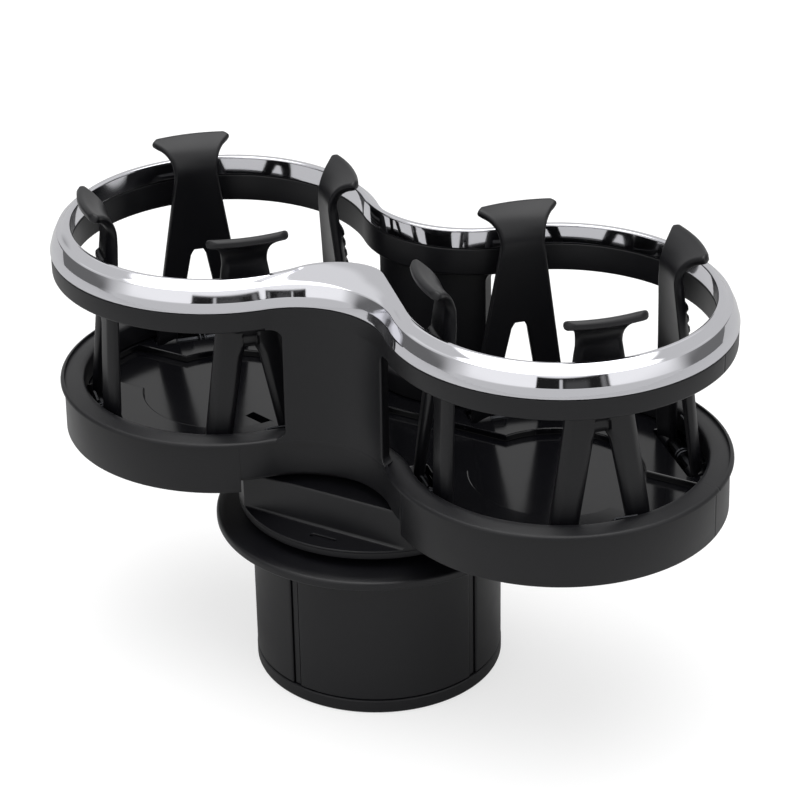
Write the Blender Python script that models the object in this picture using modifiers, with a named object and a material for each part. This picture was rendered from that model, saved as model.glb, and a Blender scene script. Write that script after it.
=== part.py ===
"""Car cup holder: two sprung cup rings on an expanding base that turns out to grip a console well.

Metres, +Z up. The origin is the middle of the underside of the base, on the axis that the holder turns on.
"""
import math

import bmesh
import bpy
from mathutils import Matrix

for old in list(bpy.data.objects):
    bpy.data.objects.remove(old)

MM = 0.001
CLEAR = 0.3 * MM               # running gap between pieces that touch
EDGE_BREAK = 0.4 * MM          # small chamfer on moulded and turned edges
CUT_OVER = 1.0 * MM            # how far a cutter runs past a face
CUT_FAR = 10.0 * MM            # how far a cutter runs past the whole piece
RING_SEGMENTS = 18
WAIST_SEGMENTS = 6
ROUND_STEPS = 32
CORE_STEPS = 24
WASHER_STEPS = 14
CORNER_STEPS = 5
GROOVE_STEPS = 6
HUB_SIDES = 10
PIN_SIDES = 8
SCREW_SIDES = 6
BOLT_SIDES = 12
BOSS_HUB_SIDES = 18

# Plan of the holder: two ring circles joined by tangent waist arcs
RING_OFFSET = 52.5 * MM        # ring centre to the middle of the holder
RING_MID_X = 4.2 * MM          # middle of the holder, off the base axis
BAND_RADIUS = 47.1 * MM        # outer face of the upper hoop
HOOP_WIDTH = 5.9 * MM          # outer face to cup opening, round the rings
WAIST_HALF = 24.3 * MM         # outer half-width at the waist
WAIST_FRONT_WIDTH = 14.9 * MM  # outer face to opening at the waist, front
WAIST_BACK_WIDTH = 5.4 * MM    # outer face to opening at the waist, back
OPENING_RADIUS = BAND_RADIUS - HOOP_WIDTH
OPENING_FRONT = WAIST_HALF - WAIST_FRONT_WIDTH
OPENING_BACK = WAIST_HALF - WAIST_BACK_WIDTH

# Heights of the base, the collar and the boss, stacked from the foot up
BASE_HEIGHT = 45.4 * MM        # top of the jaws and the core
COLLAR_BOTTOM = BASE_HEIGHT + CLEAR
COLLAR_HUB_THICK = 6.0 * MM
BOSS_BOTTOM = COLLAR_BOTTOM + COLLAR_HUB_THICK + CLEAR
BOSS_DISC_THICK = 2.5 * MM
BOSS_DISC_TOP = BOSS_BOTTOM + BOSS_DISC_THICK
BOSS_HEIGHT = 13.6 * MM
BOSS_TOP = BOSS_BOTTOM + BOSS_HEIGHT
BOSS_SEAT_DEPTH = 5.8 * MM     # washer seat below the boss's top
BOSS_SEAT = BOSS_TOP - BOSS_SEAT_DEPTH

# Bottom cover
COVER_BOTTOM = BOSS_TOP + CLEAR
COVER_PLATE = 1.6 * MM
COVER_PLATE_TOP = COVER_BOTTOM + COVER_PLATE
COVER_HOLLOW = 1.1 * MM        # from the cover's plate to the tray
COVER_RIM = 2.4 * MM
COVER_SCREW_INSET = 15.1 * MM
COVER_SCREW_Y = BAND_RADIUS - COVER_SCREW_INSET
COVER_SCREW_GRIP = 2.5 * MM

# Floor tray
TRAY_BOTTOM = COVER_PLATE_TOP + COVER_HOLLOW
TRAY_THICK = 4.1 * MM
TRAY_TOP = TRAY_BOTTOM + TRAY_THICK
RECESS_DEPTH = 2.0 * MM
RECESS_INSET = 23.1 * MM       # hoop's outer face to the sunk disc
RECESS_RADIUS = BAND_RADIUS - RECESS_INSET
RECESS_WING_HALF = 11.0 * MM
RECESS_WING_TAPER = 0.6 * MM

# Main frame: hoop, two waist panels and skirt, one moulding
LEDGE_RISE = 7.2 * MM          # ledge above the tray
LEDGE_TOP = TRAY_TOP + LEDGE_RISE
LEDGE_FLARE = 0.2 * MM         # the ledge stands this far outside the hoop
LEDGE_WIDTH = 7.0 * MM
LEDGE_THICK = 2.2 * MM
LIP_WALL = 2.0 * MM
SKIRT_HEIGHT = 15.8 * MM
SKIRT_BOTTOM = LEDGE_TOP - SKIRT_HEIGHT
SKIRT_DRAFT = 0.9 * MM
SKIRT_WALL = 2.5 * MM
WINDOW_HEIGHT = 33.1 * MM
WINDOW_CORNER = 3.0 * MM
WINDOW_SKIM = 0.2 * MM         # taken off the hoop and the ledge where a window is cut
HOOP_BOTTOM = LEDGE_TOP + WINDOW_HEIGHT
HOOP_HEIGHT = 8.0 * MM
HOOP_TOP = HOOP_BOTTOM + HOOP_HEIGHT
HOOP_WALL = 2.0 * MM
HOOP_WEB = 3.2 * MM
REBATE_DEPTH = 1.7 * MM
REBATE_HEIGHT = 2.2 * MM
PANEL_WALL = 3.2 * MM
PANEL_FRONT_HALF = 15.3 * MM
PANEL_BACK_HALF = 16.8 * MM
NOTCH_HEIGHT = 4.4 * MM
NOTCH_TOP = SKIRT_BOTTOM + NOTCH_HEIGHT
SNAP_WIDTH = 6.0 * MM
SNAP_REACH = 0.9 * MM
SNAP_HEIGHT = 1.5 * MM

# Plated trim on the hoop
TRIM_RISE = 5.8 * MM           # top of the trim above the hoop
TRIM_TOP = HOOP_TOP + TRIM_RISE
TRIM_SLOPE = 1.9 * MM          # fall of the sloped top
TRIM_CREASE_HEIGHT = TRIM_TOP - TRIM_SLOPE
TRIM_CREASE_INSET = 2.0 * MM
TRIM_BEVEL_RISE = 0.9 * MM     # foot of the bevel above the hoop
TRIM_BEVEL_HEIGHT = HOOP_TOP + TRIM_BEVEL_RISE
TRIM_BEVEL_INSET = 0.6 * MM
TRIM_PROUD = 0.2 * MM
TRIM_WALL = 1.4 * MM
TRIM_ROOF = 1.8 * MM           # thickness under the trim's highest line
TRIM_CREASE_WALL = 1.1 * MM

# Sprung fingers
FINGER_ANGLES = (45, 135, 225, 315)
PIVOT_INSET = 10.9 * MM        # hoop's outer face to the pin axis
PIVOT_RADIUS = BAND_RADIUS - PIVOT_INSET
PIVOT_DEPTH = 1.9 * MM         # pin axis below the tray's top
PIVOT_HEIGHT = TRAY_TOP - PIVOT_DEPTH
PIN_RADIUS = 1.2 * MM
PIN_SEAT = 2.3 * MM            # length of pin held in the tray at each end
HUB_RADIUS = 2.4 * MM
FINGER_THICK = 3.0 * MM
FINGER_BEVEL = 0.9 * MM
FINGER_ROOT_OUT = 1.2 * MM     # strap centre outside the pin axis
FINGER_LEAN = 0.107            # inward lean per unit of height
FINGER_CURVE = 40.0 * MM       # plan radius of the strap
LEG_HALF = 13.6 * MM
LEG_TAPER_START = 7.0 * MM     # height above the pin where the sides begin to close
NECK_DROP = 0.6 * MM           # neck below the top of the trim
NECK_HEIGHT = TRIM_TOP - NECK_DROP - PIVOT_HEIGHT
NECK_HALF = 6.2 * MM
HEAD_HALF = 11.7 * MM
HEAD_BEND = 8.0 * MM
HEAD_TURN = math.radians(70)
HEAD_FLAT = 1.6 * MM
HEAD_STEPS = 4
TIP_TAPER = 0.7                # thickness left at the very tip
SLOT_APEX = 30.0 * MM          # above the pin
SLOT_APEX_HALF = 1.6 * MM
SLOT_SPREAD = 0.186
SLOT_ROUND = 0.8 * MM
TOOTH_COUNT = 4
TOOTH_PITCH = 3.2 * MM
TOOTH_RAMP = 0.35              # share of the pitch where a tooth has risen
TOOTH_DROP = 0.75              # share of the pitch where it falls again
TOOTH_HEIGHT = 1.0 * MM
TOOTH_LEAD = 6.2 * MM          # first tooth below the hoop
TOOTH_START = HOOP_BOTTOM - TOOTH_LEAD - PIVOT_HEIGHT
TOOTH_HALF = 4.5 * MM
POCKET_IN = 3.6 * MM           # pocket edge inside the pin axis
POCKET_OUT = 4.2 * MM

# Torsion springs on the pins
WIRE_RADIUS = 0.4 * MM
COIL_RADIUS = 2.15 * MM
COIL_TURNS = 2
COIL_STEPS = 6                 # wire points in one turn
COIL_PITCH = 1.4 * MM
SPRING_ARM = 8.0 * MM
SPRING_BEND = 0.8 * MM
SPRING_HOOK = 8.6 * MM

# Base, with the post that carries collar and boss
BASE_TURN = math.radians(-11.5)
BASE_RADIUS = 35.2 * MM
BASE_PLATE_THICK = 4.1 * MM
BASE_PLATE_PROUD = 0.1 * MM
JAW_WALL = 3.0 * MM
JAW_TRAVEL = 6.0 * MM
FIN_THICK = 1.7 * MM
FIN_INSET = 0.6 * MM
FIN_ROOT = 2.0 * MM            # length of each fin inside the core
CORE_INSET = 13.2 * MM         # outer wall to the core
CORE_RADIUS = BASE_RADIUS - CORE_INSET
POST_RADIUS = 9.0 * MM
ARM_HALF = 4.0 * MM
ARM_THICK = 4.6 * MM
ARM_DROP = 1.5 * MM            # upper arm below the top of the core
ARM_END = 11.0 * MM            # inner end of the jaw arms
FOLLOWER_INSET = 10.2 * MM     # outer wall to the followers
FOLLOWER_CIRCLE = BASE_RADIUS - FOLLOWER_INSET
FOLLOWER_RADIUS = 2.0 * MM
BOLT_RADIUS = 3.0 * MM
BOLT_LENGTH = 32.0 * MM
BOLT_HEAD_RADIUS = 6.0 * MM
BOLT_HEAD = 3.2 * MM
WASHER_REACH = 3.6 * MM        # washer beyond the post
WASHER_RADIUS = POST_RADIUS + WASHER_REACH
WASHER_THICK = 1.2 * MM
WELL_RADIUS = WASHER_RADIUS + 4 * CLEAR
BASE_SCREW_INSET = 6.5 * MM
BASE_SCREW_CIRCLE = CORE_RADIUS - BASE_SCREW_INSET
SCREW_RADIUS = 1.0 * MM
SCREW_HEAD_RADIUS = 2.4 * MM
SCREW_HEAD = 1.2 * MM
SCREW_GRIP = 6.0 * MM
SCREW_GAP = 1.0 * MM           # hole beyond the end of a screw

# Swivel boss
BOSS_RADIUS = 38.6 * MM
BOSS_FLAT_INSET = 9.6 * MM
BOSS_FLAT = BOSS_RADIUS - BOSS_FLAT_INSET
BOSS_FILLET = 1.5 * MM
BOSS_WALL = 3.0 * MM
BOSS_HUB_WALL = 2.7 * MM
BOSS_HUB_RADIUS = WELL_RADIUS + BOSS_HUB_WALL
BOSS_POST_INSET = 13.6 * MM
BOSS_POST_CIRCLE = BOSS_RADIUS - BOSS_POST_INSET
BOSS_POST_RADIUS = 3.6 * MM
MARK_LENGTH = 8.0 * MM
MARK_WIDTH = 1.5 * MM
MARK_DEPTH = 0.5 * MM
MARK_INSET = 4.6 * MM
NOTCH_INSET = 14.1 * MM        # the skirt's notch ends where the boss has passed beneath it
NOTCH_HALF = BOSS_RADIUS - NOTCH_INSET

# Expander collar
COLLAR_PROUD = 6.55 * MM       # rim of the collar beyond the boss
COLLAR_RADIUS = BOSS_RADIUS + COLLAR_PROUD
COLLAR_THICK = 4.4 * MM
COLLAR_EDGE_THICK = 3.2 * MM
COLLAR_ROUND = 1.5 * MM
COLLAR_SLOPE_WIDTH = 15.15 * MM
COLLAR_TURN = math.radians(80)
GROOVE_DEPTH = 2.4 * MM

parts = bpy.data.collections.new("car_cup_holder")
guides = bpy.data.collections.new("cutters")
bpy.context.scene.collection.children.link(parts)
bpy.context.scene.collection.children.link(guides)


def material(name, color, roughness, metallic=0.0):
    """A Principled material with one colour."""
    made = bpy.data.materials.new(name)
    made.use_nodes = True
    shader = made.node_tree.nodes["Principled BSDF"]
    shader.inputs["Base Color"].default_value = (*color, 1.0)
    shader.inputs["Roughness"].default_value = roughness
    shader.inputs["Metallic"].default_value = metallic
    return made


SATIN_ABS = material("satin_black_abs", (0.026, 0.026, 0.028), 0.42)
GLOSS_ABS = material("gloss_black_abs", (0.012, 0.012, 0.013), 0.12)
CHROME = material("chrome_plated_abs", (0.86, 0.86, 0.88), 0.05, 1.0)
FINGER_NYLON = material("satin_black_nylon", (0.022, 0.022, 0.024), 0.38)
STEEL = material("zinc_plated_steel", (0.62, 0.62, 0.64), 0.3, 1.0)
SPRING_STEEL = material("spring_steel", (0.42, 0.42, 0.44), 0.32, 1.0)


def place(x=0.0, y=0.0, z=0.0, turn=0.0):
    """Matrix of a turn about Z followed by a move."""
    return Matrix.Translation((x, y, z)) @ Matrix.Rotation(turn, 4, "Z")


def add_object(name, mesh, collection=guides, matrix=None):
    """An object of a mesh in one of the two collections."""
    made = bpy.data.objects.new(name, mesh)
    made.matrix_world = matrix or Matrix()
    collection.objects.link(made)
    if collection is guides:
        made.hide_render = True
        made.display_type = "WIRE"
    return made


def evaluated_mesh(source, name):
    """The mesh of an object with its modifiers applied, its doubles welded."""
    graph = bpy.context.evaluated_depsgraph_get()
    mesh = bpy.data.meshes.new_from_object(source.evaluated_get(graph))
    mesh.name = name
    shape = bmesh.new()
    shape.from_mesh(mesh)
    bmesh.ops.remove_doubles(shape, verts=shape.verts, dist=0.00001)
    shape.to_mesh(mesh)
    shape.free()
    return mesh


def mesh_from(shape, name):
    """A mesh of a bmesh, its faces turned outwards."""
    bmesh.ops.recalc_face_normals(shape, faces=shape.faces)
    mesh = bpy.data.meshes.new(name)
    shape.to_mesh(mesh)
    shape.free()
    return mesh


def arc(cx, cy, radius, start, end, segments):
    """Points of an arc from start to end, both included."""
    angles = [start + (end - start) * i / segments for i in range(segments + 1)]
    return [(cx + radius * math.cos(a), cy + radius * math.sin(a)) for a in angles]


def waist_arc(radius, half):
    """Radius of the arc that touches both ring circles and leaves half at the middle."""
    return (RING_OFFSET**2 + half**2 - radius**2) / (2 * (radius - half))


def holder_outline(radius, front, back):
    """Plan of the holder: ring arcs of one radius and a tangent arc at each side of the waist."""
    rise = {}
    angle = {}
    for side, half in (("front", front), ("back", back)):
        rise[side] = waist_arc(radius, half) + half
        angle[side] = math.atan2(rise[side], RING_OFFSET)
    right = RING_MID_X + RING_OFFSET
    left = RING_MID_X - RING_OFFSET
    pi = math.pi
    points = arc(right, 0, radius, angle["front"] - pi, pi - angle["back"], RING_SEGMENTS)
    points += arc(RING_MID_X, rise["back"], waist_arc(radius, back), -angle["back"], angle["back"] - pi,
                  WAIST_SEGMENTS)[1:]
    points += arc(left, 0, radius, angle["back"], 2 * pi - angle["front"], RING_SEGMENTS)[1:]
    points += arc(RING_MID_X, -rise["front"], waist_arc(radius, front), pi - angle["front"], angle["front"],
                  WAIST_SEGMENTS)[1:-1]
    return points


def outer(inset):
    """Plan line a given distance inside the hoop's outer face."""
    return holder_outline(BAND_RADIUS - inset, WAIST_HALF - inset, WAIST_HALF - inset)


def opening(outset):
    """Plan line a given distance outside the cup opening."""
    return holder_outline(OPENING_RADIUS + outset, OPENING_FRONT + outset, OPENING_BACK + outset)


def loft_ring(name, sections):
    """A closed hoop of plan lines at their heights, joined one to the next and the last to the first."""
    shape = bmesh.new()
    rows = [[shape.verts.new((x, y, z)) for x, y in line] for line, z in sections]
    count = len(rows[0])
    for i, row in enumerate(rows):
        after = rows[(i + 1) % len(rows)]
        for j in range(count):
            k = (j + 1) % count
            shape.faces.new((row[j], row[k], after[k], after[j]))
    return mesh_from(shape, name)


def extruded(name, lines, low, high):
    """A flat outline with holes, drawn as a filled 2D curve and given its thickness."""
    curve = bpy.data.curves.new(name, "CURVE")
    curve.dimensions = "2D"
    curve.fill_mode = "BOTH"
    curve.extrude = (high - low) / 2
    for line in lines:
        spline = curve.splines.new("POLY")
        spline.points.add(len(line) - 1)
        for point, (x, y) in zip(spline.points, line):
            point.co = (x, y, 0, 1)
        spline.use_cyclic_u = True
    holder = bpy.data.objects.new(name, curve)
    guides.objects.link(holder)
    mesh = evaluated_mesh(holder, name)
    bpy.data.objects.remove(holder)
    mesh.transform(Matrix.Translation((0, 0, (low + high) / 2)))
    shape = bmesh.new()
    shape.from_mesh(mesh)
    bpy.data.meshes.remove(mesh)
    return mesh_from(shape, name)


def turned(name, profile, steps=ROUND_STEPS):
    """A closed profile in radius and height, turned about Z."""
    shape = bmesh.new()
    points = [shape.verts.new((r, 0, z)) for r, z in profile]
    for i, point in enumerate(points):
        shape.edges.new((point, points[(i + 1) % len(points)]))
    mesh = bpy.data.meshes.new(name)
    shape.to_mesh(mesh)
    shape.free()
    holder = bpy.data.objects.new(name, mesh)
    guides.objects.link(holder)
    screw = holder.modifiers.new("turn", "SCREW")
    screw.steps = steps
    screw.render_steps = steps
    screw.use_merge_vertices = True
    screw.merge_threshold = 0.00001
    result = evaluated_mesh(holder, name)
    bpy.data.objects.remove(holder)
    shape = bmesh.new()
    shape.from_mesh(result)
    return mesh_from(shape, name)


def box(name, low, high, matrix=None):
    """A box between two corners."""
    shape = bmesh.new()
    bmesh.ops.create_cube(shape, size=1)
    size = [b - a for a, b in zip(low, high)]
    centre = [(a + b) / 2 for a, b in zip(low, high)]
    sized = Matrix.Translation(centre) @ Matrix.Diagonal((*size, 1))
    bmesh.ops.transform(shape, matrix=sized, verts=shape.verts)
    if matrix:
        bmesh.ops.transform(shape, matrix=matrix, verts=shape.verts)
    return mesh_from(shape, name)


def rod(name, radius, low, high, segments=24, top_radius=None):
    """A cylinder or cone along Z."""
    shape = bmesh.new()
    top = radius if top_radius is None else top_radius
    bmesh.ops.create_cone(shape, cap_ends=True, segments=segments, radius1=radius, radius2=top,
                          depth=high - low)
    bmesh.ops.translate(shape, vec=(0, 0, (low + high) / 2), verts=shape.verts)
    return mesh_from(shape, name)


def stood_up(mesh):
    """The mesh with its Y and Z swapped, so that a plan outline becomes an elevation."""
    for vertex in mesh.vertices:
        x, y, z = vertex.co
        vertex.co = (x, z, y)
    mesh.flip_normals()
    return mesh


def moved(mesh, matrix):
    """The mesh itself, moved by a matrix."""
    mesh.transform(matrix)
    return mesh


def gathered(name, meshes):
    """Several meshes that stand apart, in one mesh."""
    shape = bmesh.new()
    for mesh in meshes:
        shape.from_mesh(mesh)
    return mesh_from(shape, name)


def carve(name, base, steps):
    """A mesh after Boolean steps, each an operation and the mesh of its other solid."""
    body = add_object(name + "_blank", base)
    for number, (operation, mesh) in enumerate(steps):
        tool = add_object(f"{name}_tool_{number}", mesh)
        boolean = body.modifiers.new(f"step_{number}", "BOOLEAN")
        boolean.operation = operation
        boolean.solver = "EXACT"
        boolean.object = tool
    result = evaluated_mesh(body, name)
    body.hide_set(True)
    return result


def part(name, mesh, surface, matrix=None, smooth=35):
    """A finished sub-part with its material."""
    if not mesh.materials:
        mesh.materials.append(surface)
    mesh.shade_smooth()
    mesh.set_sharp_from_angle(angle=math.radians(smooth))
    return add_object(name, mesh, parts, matrix)


def skirt_inner_inset(height):
    """How far inside the hoop's outer face the skirt's inner face lies at a height."""
    share = (LEDGE_TOP - height) / (LEDGE_TOP - SKIRT_BOTTOM)
    return SKIRT_WALL - LEDGE_FLARE + SKIRT_DRAFT * share


TRAY_INSET = skirt_inner_inset(TRAY_BOTTOM) + CLEAR
LIP_INSET = LEDGE_WIDTH - LEDGE_FLARE
COVER_INSET = skirt_inner_inset(COVER_BOTTOM) + SNAP_REACH + CLEAR
RING_CENTRES = {"left": RING_MID_X - RING_OFFSET, "right": RING_MID_X + RING_OFFSET}


def finger_places():
    """Name and matrix of each finger's pin: local X points out of the ring, local Y along the pin."""
    for side, centre in RING_CENTRES.items():
        for number, degrees in enumerate(FINGER_ANGLES, 1):
            turn = math.radians(degrees)
            x = centre + PIVOT_RADIUS * math.cos(turn)
            yield f"{side}_{number}", place(x, PIVOT_RADIUS * math.sin(turn), PIVOT_HEIGHT, turn)


# Main frame

def window_tool(name, half, front, side):
    """A window cutter: everything beside one waist panel, with rounded corners at the panel."""
    x_far = RING_OFFSET + BAND_RADIUS + CUT_FAR
    r = WINDOW_CORNER
    line = [(x_far, LEDGE_TOP)]
    line += [(x_far, HOOP_BOTTOM)]
    line += arc(half + r, HOOP_BOTTOM - r, r, math.pi / 2, math.pi, CORNER_STEPS)
    line += arc(half + r, LEDGE_TOP + r, r, math.pi, 1.5 * math.pi, CORNER_STEPS)
    reach = BAND_RADIUS + CUT_FAR
    overlap = WAIST_HALF / 3
    low, high = (-reach, overlap) if front else (-overlap, reach)
    line = [(RING_MID_X + side * x, z) for x, z in line]
    return stood_up(extruded(name, [line], low, high))


def snap_tools():
    """Nubs inside the skirt that the tray snaps over."""
    top = TRAY_BOTTOM - CLEAR
    inner = BAND_RADIUS - skirt_inner_inset(top) - SNAP_REACH
    made = []
    for side, centre in RING_CENTRES.items():
        outward = 0 if side == "right" else math.pi
        for turn in (outward, math.pi / 2, -math.pi / 2):
            low = (inner, -SNAP_WIDTH / 2, top - SNAP_HEIGHT)
            high = (inner + SNAP_REACH + SKIRT_WALL / 2, SNAP_WIDTH / 2, top)
            made.append(box("snap", low, high, place(centre, turn=turn)))
    return gathered("snaps", made)


def build_main_frame():
    """Hoop, panels and skirt as one wall, then the windows and the notch over the boss."""
    wall = loft_ring("frame_wall", [
        (outer(REBATE_DEPTH), HOOP_TOP),
        (opening(0), HOOP_TOP),
        (opening(0), HOOP_BOTTOM - WINDOW_SKIM),
        (opening(HOOP_WALL), HOOP_BOTTOM - WINDOW_SKIM),
        (opening(HOOP_WALL), HOOP_TOP - HOOP_WEB),
        (outer(HOOP_WALL), HOOP_TOP - HOOP_WEB),
        (outer(HOOP_WALL), HOOP_BOTTOM - WINDOW_SKIM),
        (outer(PANEL_WALL), HOOP_BOTTOM - WINDOW_SKIM),
        (outer(PANEL_WALL - LEDGE_FLARE), LEDGE_TOP + WINDOW_SKIM),
        (outer(LIP_INSET), LEDGE_TOP + WINDOW_SKIM),
        (outer(LIP_INSET), TRAY_TOP + CLEAR),
        (outer(LIP_INSET - LIP_WALL), TRAY_TOP + CLEAR),
        (outer(LIP_INSET - LIP_WALL), LEDGE_TOP - LEDGE_THICK),
        (outer(skirt_inner_inset(LEDGE_TOP - LEDGE_THICK)), LEDGE_TOP - LEDGE_THICK),
        (outer(skirt_inner_inset(SKIRT_BOTTOM)), SKIRT_BOTTOM),
        (outer(SKIRT_DRAFT - LEDGE_FLARE), SKIRT_BOTTOM),
        (outer(-LEDGE_FLARE), LEDGE_TOP),
        (outer(0), HOOP_TOP - REBATE_HEIGHT),
        (outer(REBATE_DEPTH), HOOP_TOP - REBATE_HEIGHT),
    ])
    steps = []
    for side in (-1, 1):
        steps.append(("DIFFERENCE", window_tool("window_front", PANEL_FRONT_HALF, True, side)))
        steps.append(("DIFFERENCE", window_tool("window_back", PANEL_BACK_HALF, False, side)))
    reach = BAND_RADIUS + CUT_FAR
    low = (RING_MID_X - NOTCH_HALF, -reach, SKIRT_BOTTOM - CUT_FAR)
    high = (RING_MID_X + NOTCH_HALF, reach, NOTCH_TOP)
    steps.append(("DIFFERENCE", box("notch", low, high)))
    steps.append(("UNION", snap_tools()))
    part("main_frame", carve("main_frame", wall, steps), SATIN_ABS)


def build_trim():
    """Plated trim: sloped top, steep bevel and skirt outside, short lip inside, hollow beneath."""
    skirt_inset = REBATE_DEPTH - CLEAR
    skirt_bottom = HOOP_TOP - REBATE_HEIGHT + CLEAR
    lip_bottom = HOOP_TOP + CLEAR
    mesh = loft_ring("chrome_trim", [
        (outer(-TRIM_PROUD), skirt_bottom),
        (outer(TRIM_BEVEL_INSET), TRIM_BEVEL_HEIGHT),
        (outer(TRIM_CREASE_INSET), TRIM_CREASE_HEIGHT),
        (opening(EDGE_BREAK), TRIM_TOP),
        (opening(0), TRIM_TOP - EDGE_BREAK),
        (opening(0), lip_bottom),
        (opening(TRIM_WALL), lip_bottom),
        (opening(TRIM_WALL), TRIM_TOP - TRIM_ROOF),
        (outer(TRIM_CREASE_INSET + TRIM_CREASE_WALL), TRIM_CREASE_HEIGHT - TRIM_WALL),
        (outer(skirt_inset), TRIM_BEVEL_HEIGHT - CLEAR),
        (outer(skirt_inset), skirt_bottom),
    ])
    part("chrome_trim", mesh, CHROME)


# Floor tray

def recess_outline():
    """Plan of the sunk floor: a disc under each cup, joined by wings that run out to the skirt."""
    wing_end = BAND_RADIUS - LIP_INSET - CLEAR
    end = math.asin((RECESS_WING_HALF - RECESS_WING_TAPER) / wing_end)
    wide = math.asin(RECESS_WING_HALF / RECESS_RADIUS)
    narrow = math.asin((RECESS_WING_HALF - RECESS_WING_TAPER / 2) / RECESS_RADIUS)
    right, left = RING_CENTRES["right"], RING_CENTRES["left"]
    pi = math.pi
    points = arc(right, 0, wing_end, -end, end, 4)
    points += arc(right, 0, RECESS_RADIUS, wide, pi - narrow, 8)
    points += arc(left, 0, RECESS_RADIUS, narrow, pi - wide, 8)
    points += arc(left, 0, wing_end, pi - end, pi + end, 4)
    points += arc(left, 0, RECESS_RADIUS, pi + wide, 2 * pi - narrow, 8)
    points += arc(right, 0, RECESS_RADIUS, pi + narrow, 2 * pi - wide, 8)
    return points


def saddle_tool(matrix):
    """Seat of one pin, open below: a round-topped slot along the pin."""
    half = LEG_HALF + CLEAR + PIN_SEAT + CLEAR
    r = PIN_RADIUS + CLEAR
    low = TRAY_BOTTOM - PIVOT_HEIGHT - CUT_OVER
    line = [(-r, low)] + arc(0, 0, r, math.pi, 0, 4) + [(r, low)]
    mesh = extruded("saddle", [line], -half, half)
    return moved(mesh, matrix @ Matrix.Rotation(math.pi / 2, 4, "X"))


def build_tray():
    """Floor of both cups with its sunk middle, finger pockets, pin seats and screw holes."""
    blank = extruded("tray_blank", [outer(TRAY_INSET)], TRAY_BOTTOM, TRAY_TOP)
    recess = extruded("recess", [recess_outline()], TRAY_TOP - RECESS_DEPTH, TRAY_TOP + CUT_FAR)
    drop = PIVOT_HEIGHT - TRAY_BOTTOM + CUT_OVER
    rise = TRAY_TOP - PIVOT_HEIGHT + CUT_OVER
    half = LEG_HALF + CLEAR
    pockets = [box("pocket", (-POCKET_IN, -half, -drop), (POCKET_OUT, half, rise), m)
               for _, m in finger_places()]
    saddles = [saddle_tool(m) for _, m in finger_places()]
    pilot = SCREW_RADIUS + CLEAR
    depth = TRAY_BOTTOM + COVER_SCREW_GRIP + SCREW_GAP
    pilots = [moved(rod("pilot", pilot, TRAY_BOTTOM - CUT_OVER, depth, SCREW_SIDES), place(x, y))
              for x, y in cover_screw_places()]
    part("floor_tray", carve("floor_tray", blank, [
        ("DIFFERENCE", recess),
        ("DIFFERENCE", gathered("pockets", pockets)),
        ("DIFFERENCE", gathered("saddles", saddles)),
        ("DIFFERENCE", gathered("pilots", pilots)),
    ]), GLOSS_ABS)


def cover_screw_places():
    """Plan positions of the screws that hold the cover to the tray."""
    return [(x, y) for x in RING_CENTRES.values() for y in (-COVER_SCREW_Y, COVER_SCREW_Y)]


def boss_screw_places():
    """Plan positions of the screws that hold the boss to the cover."""
    turns = [math.radians(a) for a in FINGER_ANGLES]
    return [(BOSS_POST_CIRCLE * math.cos(t), BOSS_POST_CIRCLE * math.sin(t)) for t in turns]


def build_cover():
    """Bottom cover: a plate with a raised rim under the tray and a keeper under each pin end."""
    blank = extruded("cover_blank", [outer(COVER_INSET)], COVER_BOTTOM, TRAY_BOTTOM - CLEAR)
    inner = extruded("cover_inner", [outer(COVER_INSET + COVER_RIM)], COVER_PLATE_TOP, TRAY_BOTTOM + CUT_OVER)
    keepers = []
    low = COVER_PLATE_TOP - PIVOT_HEIGHT - COVER_PLATE / 2
    high = -PIN_RADIUS - CLEAR
    start = LEG_HALF + 2 * CLEAR
    for _, matrix in finger_places():
        for side in (-1, 1):
            y = sorted((side * start, side * (start + PIN_SEAT - 2 * CLEAR)))
            keepers.append(box("keeper", (-PIN_RADIUS, y[0], low), (PIN_RADIUS, y[1], high), matrix))
    hole = SCREW_RADIUS + CLEAR
    low, high = COVER_BOTTOM - CUT_OVER, COVER_PLATE_TOP + CUT_OVER
    holes = [moved(rod("hole", hole, low, high, SCREW_SIDES), place(x, y))
             for x, y in cover_screw_places() + boss_screw_places()]
    sinks = [moved(rod("sink", hole, COVER_PLATE_TOP - SCREW_HEAD, COVER_PLATE_TOP + CLEAR, PIN_SIDES,
                       SCREW_HEAD_RADIUS + 2 * CLEAR), place(x, y)) for x, y in boss_screw_places()]
    part("bottom_cover", carve("bottom_cover", blank, [
        ("DIFFERENCE", inner),
        ("UNION", gathered("keepers", keepers)),
        ("DIFFERENCE", gathered("holes", holes)),
        ("DIFFERENCE", gathered("sinks", sinks)),
    ]), SATIN_ABS)


# Fingers

def strap_section(half, thick):
    """Strap section across the pin: a flat bar with bevelled edges, as points in width and thickness."""
    h = thick / 2
    c = FINGER_BEVEL
    upper = [(c - half, h), (0, h), (half - c, h), (half, h - c)]
    lower = [(half, c - h), (half - c, -h), (0, -h), (c - half, -h)]
    return upper + lower + [(-half, c - h), (-half, h - c)]


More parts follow.
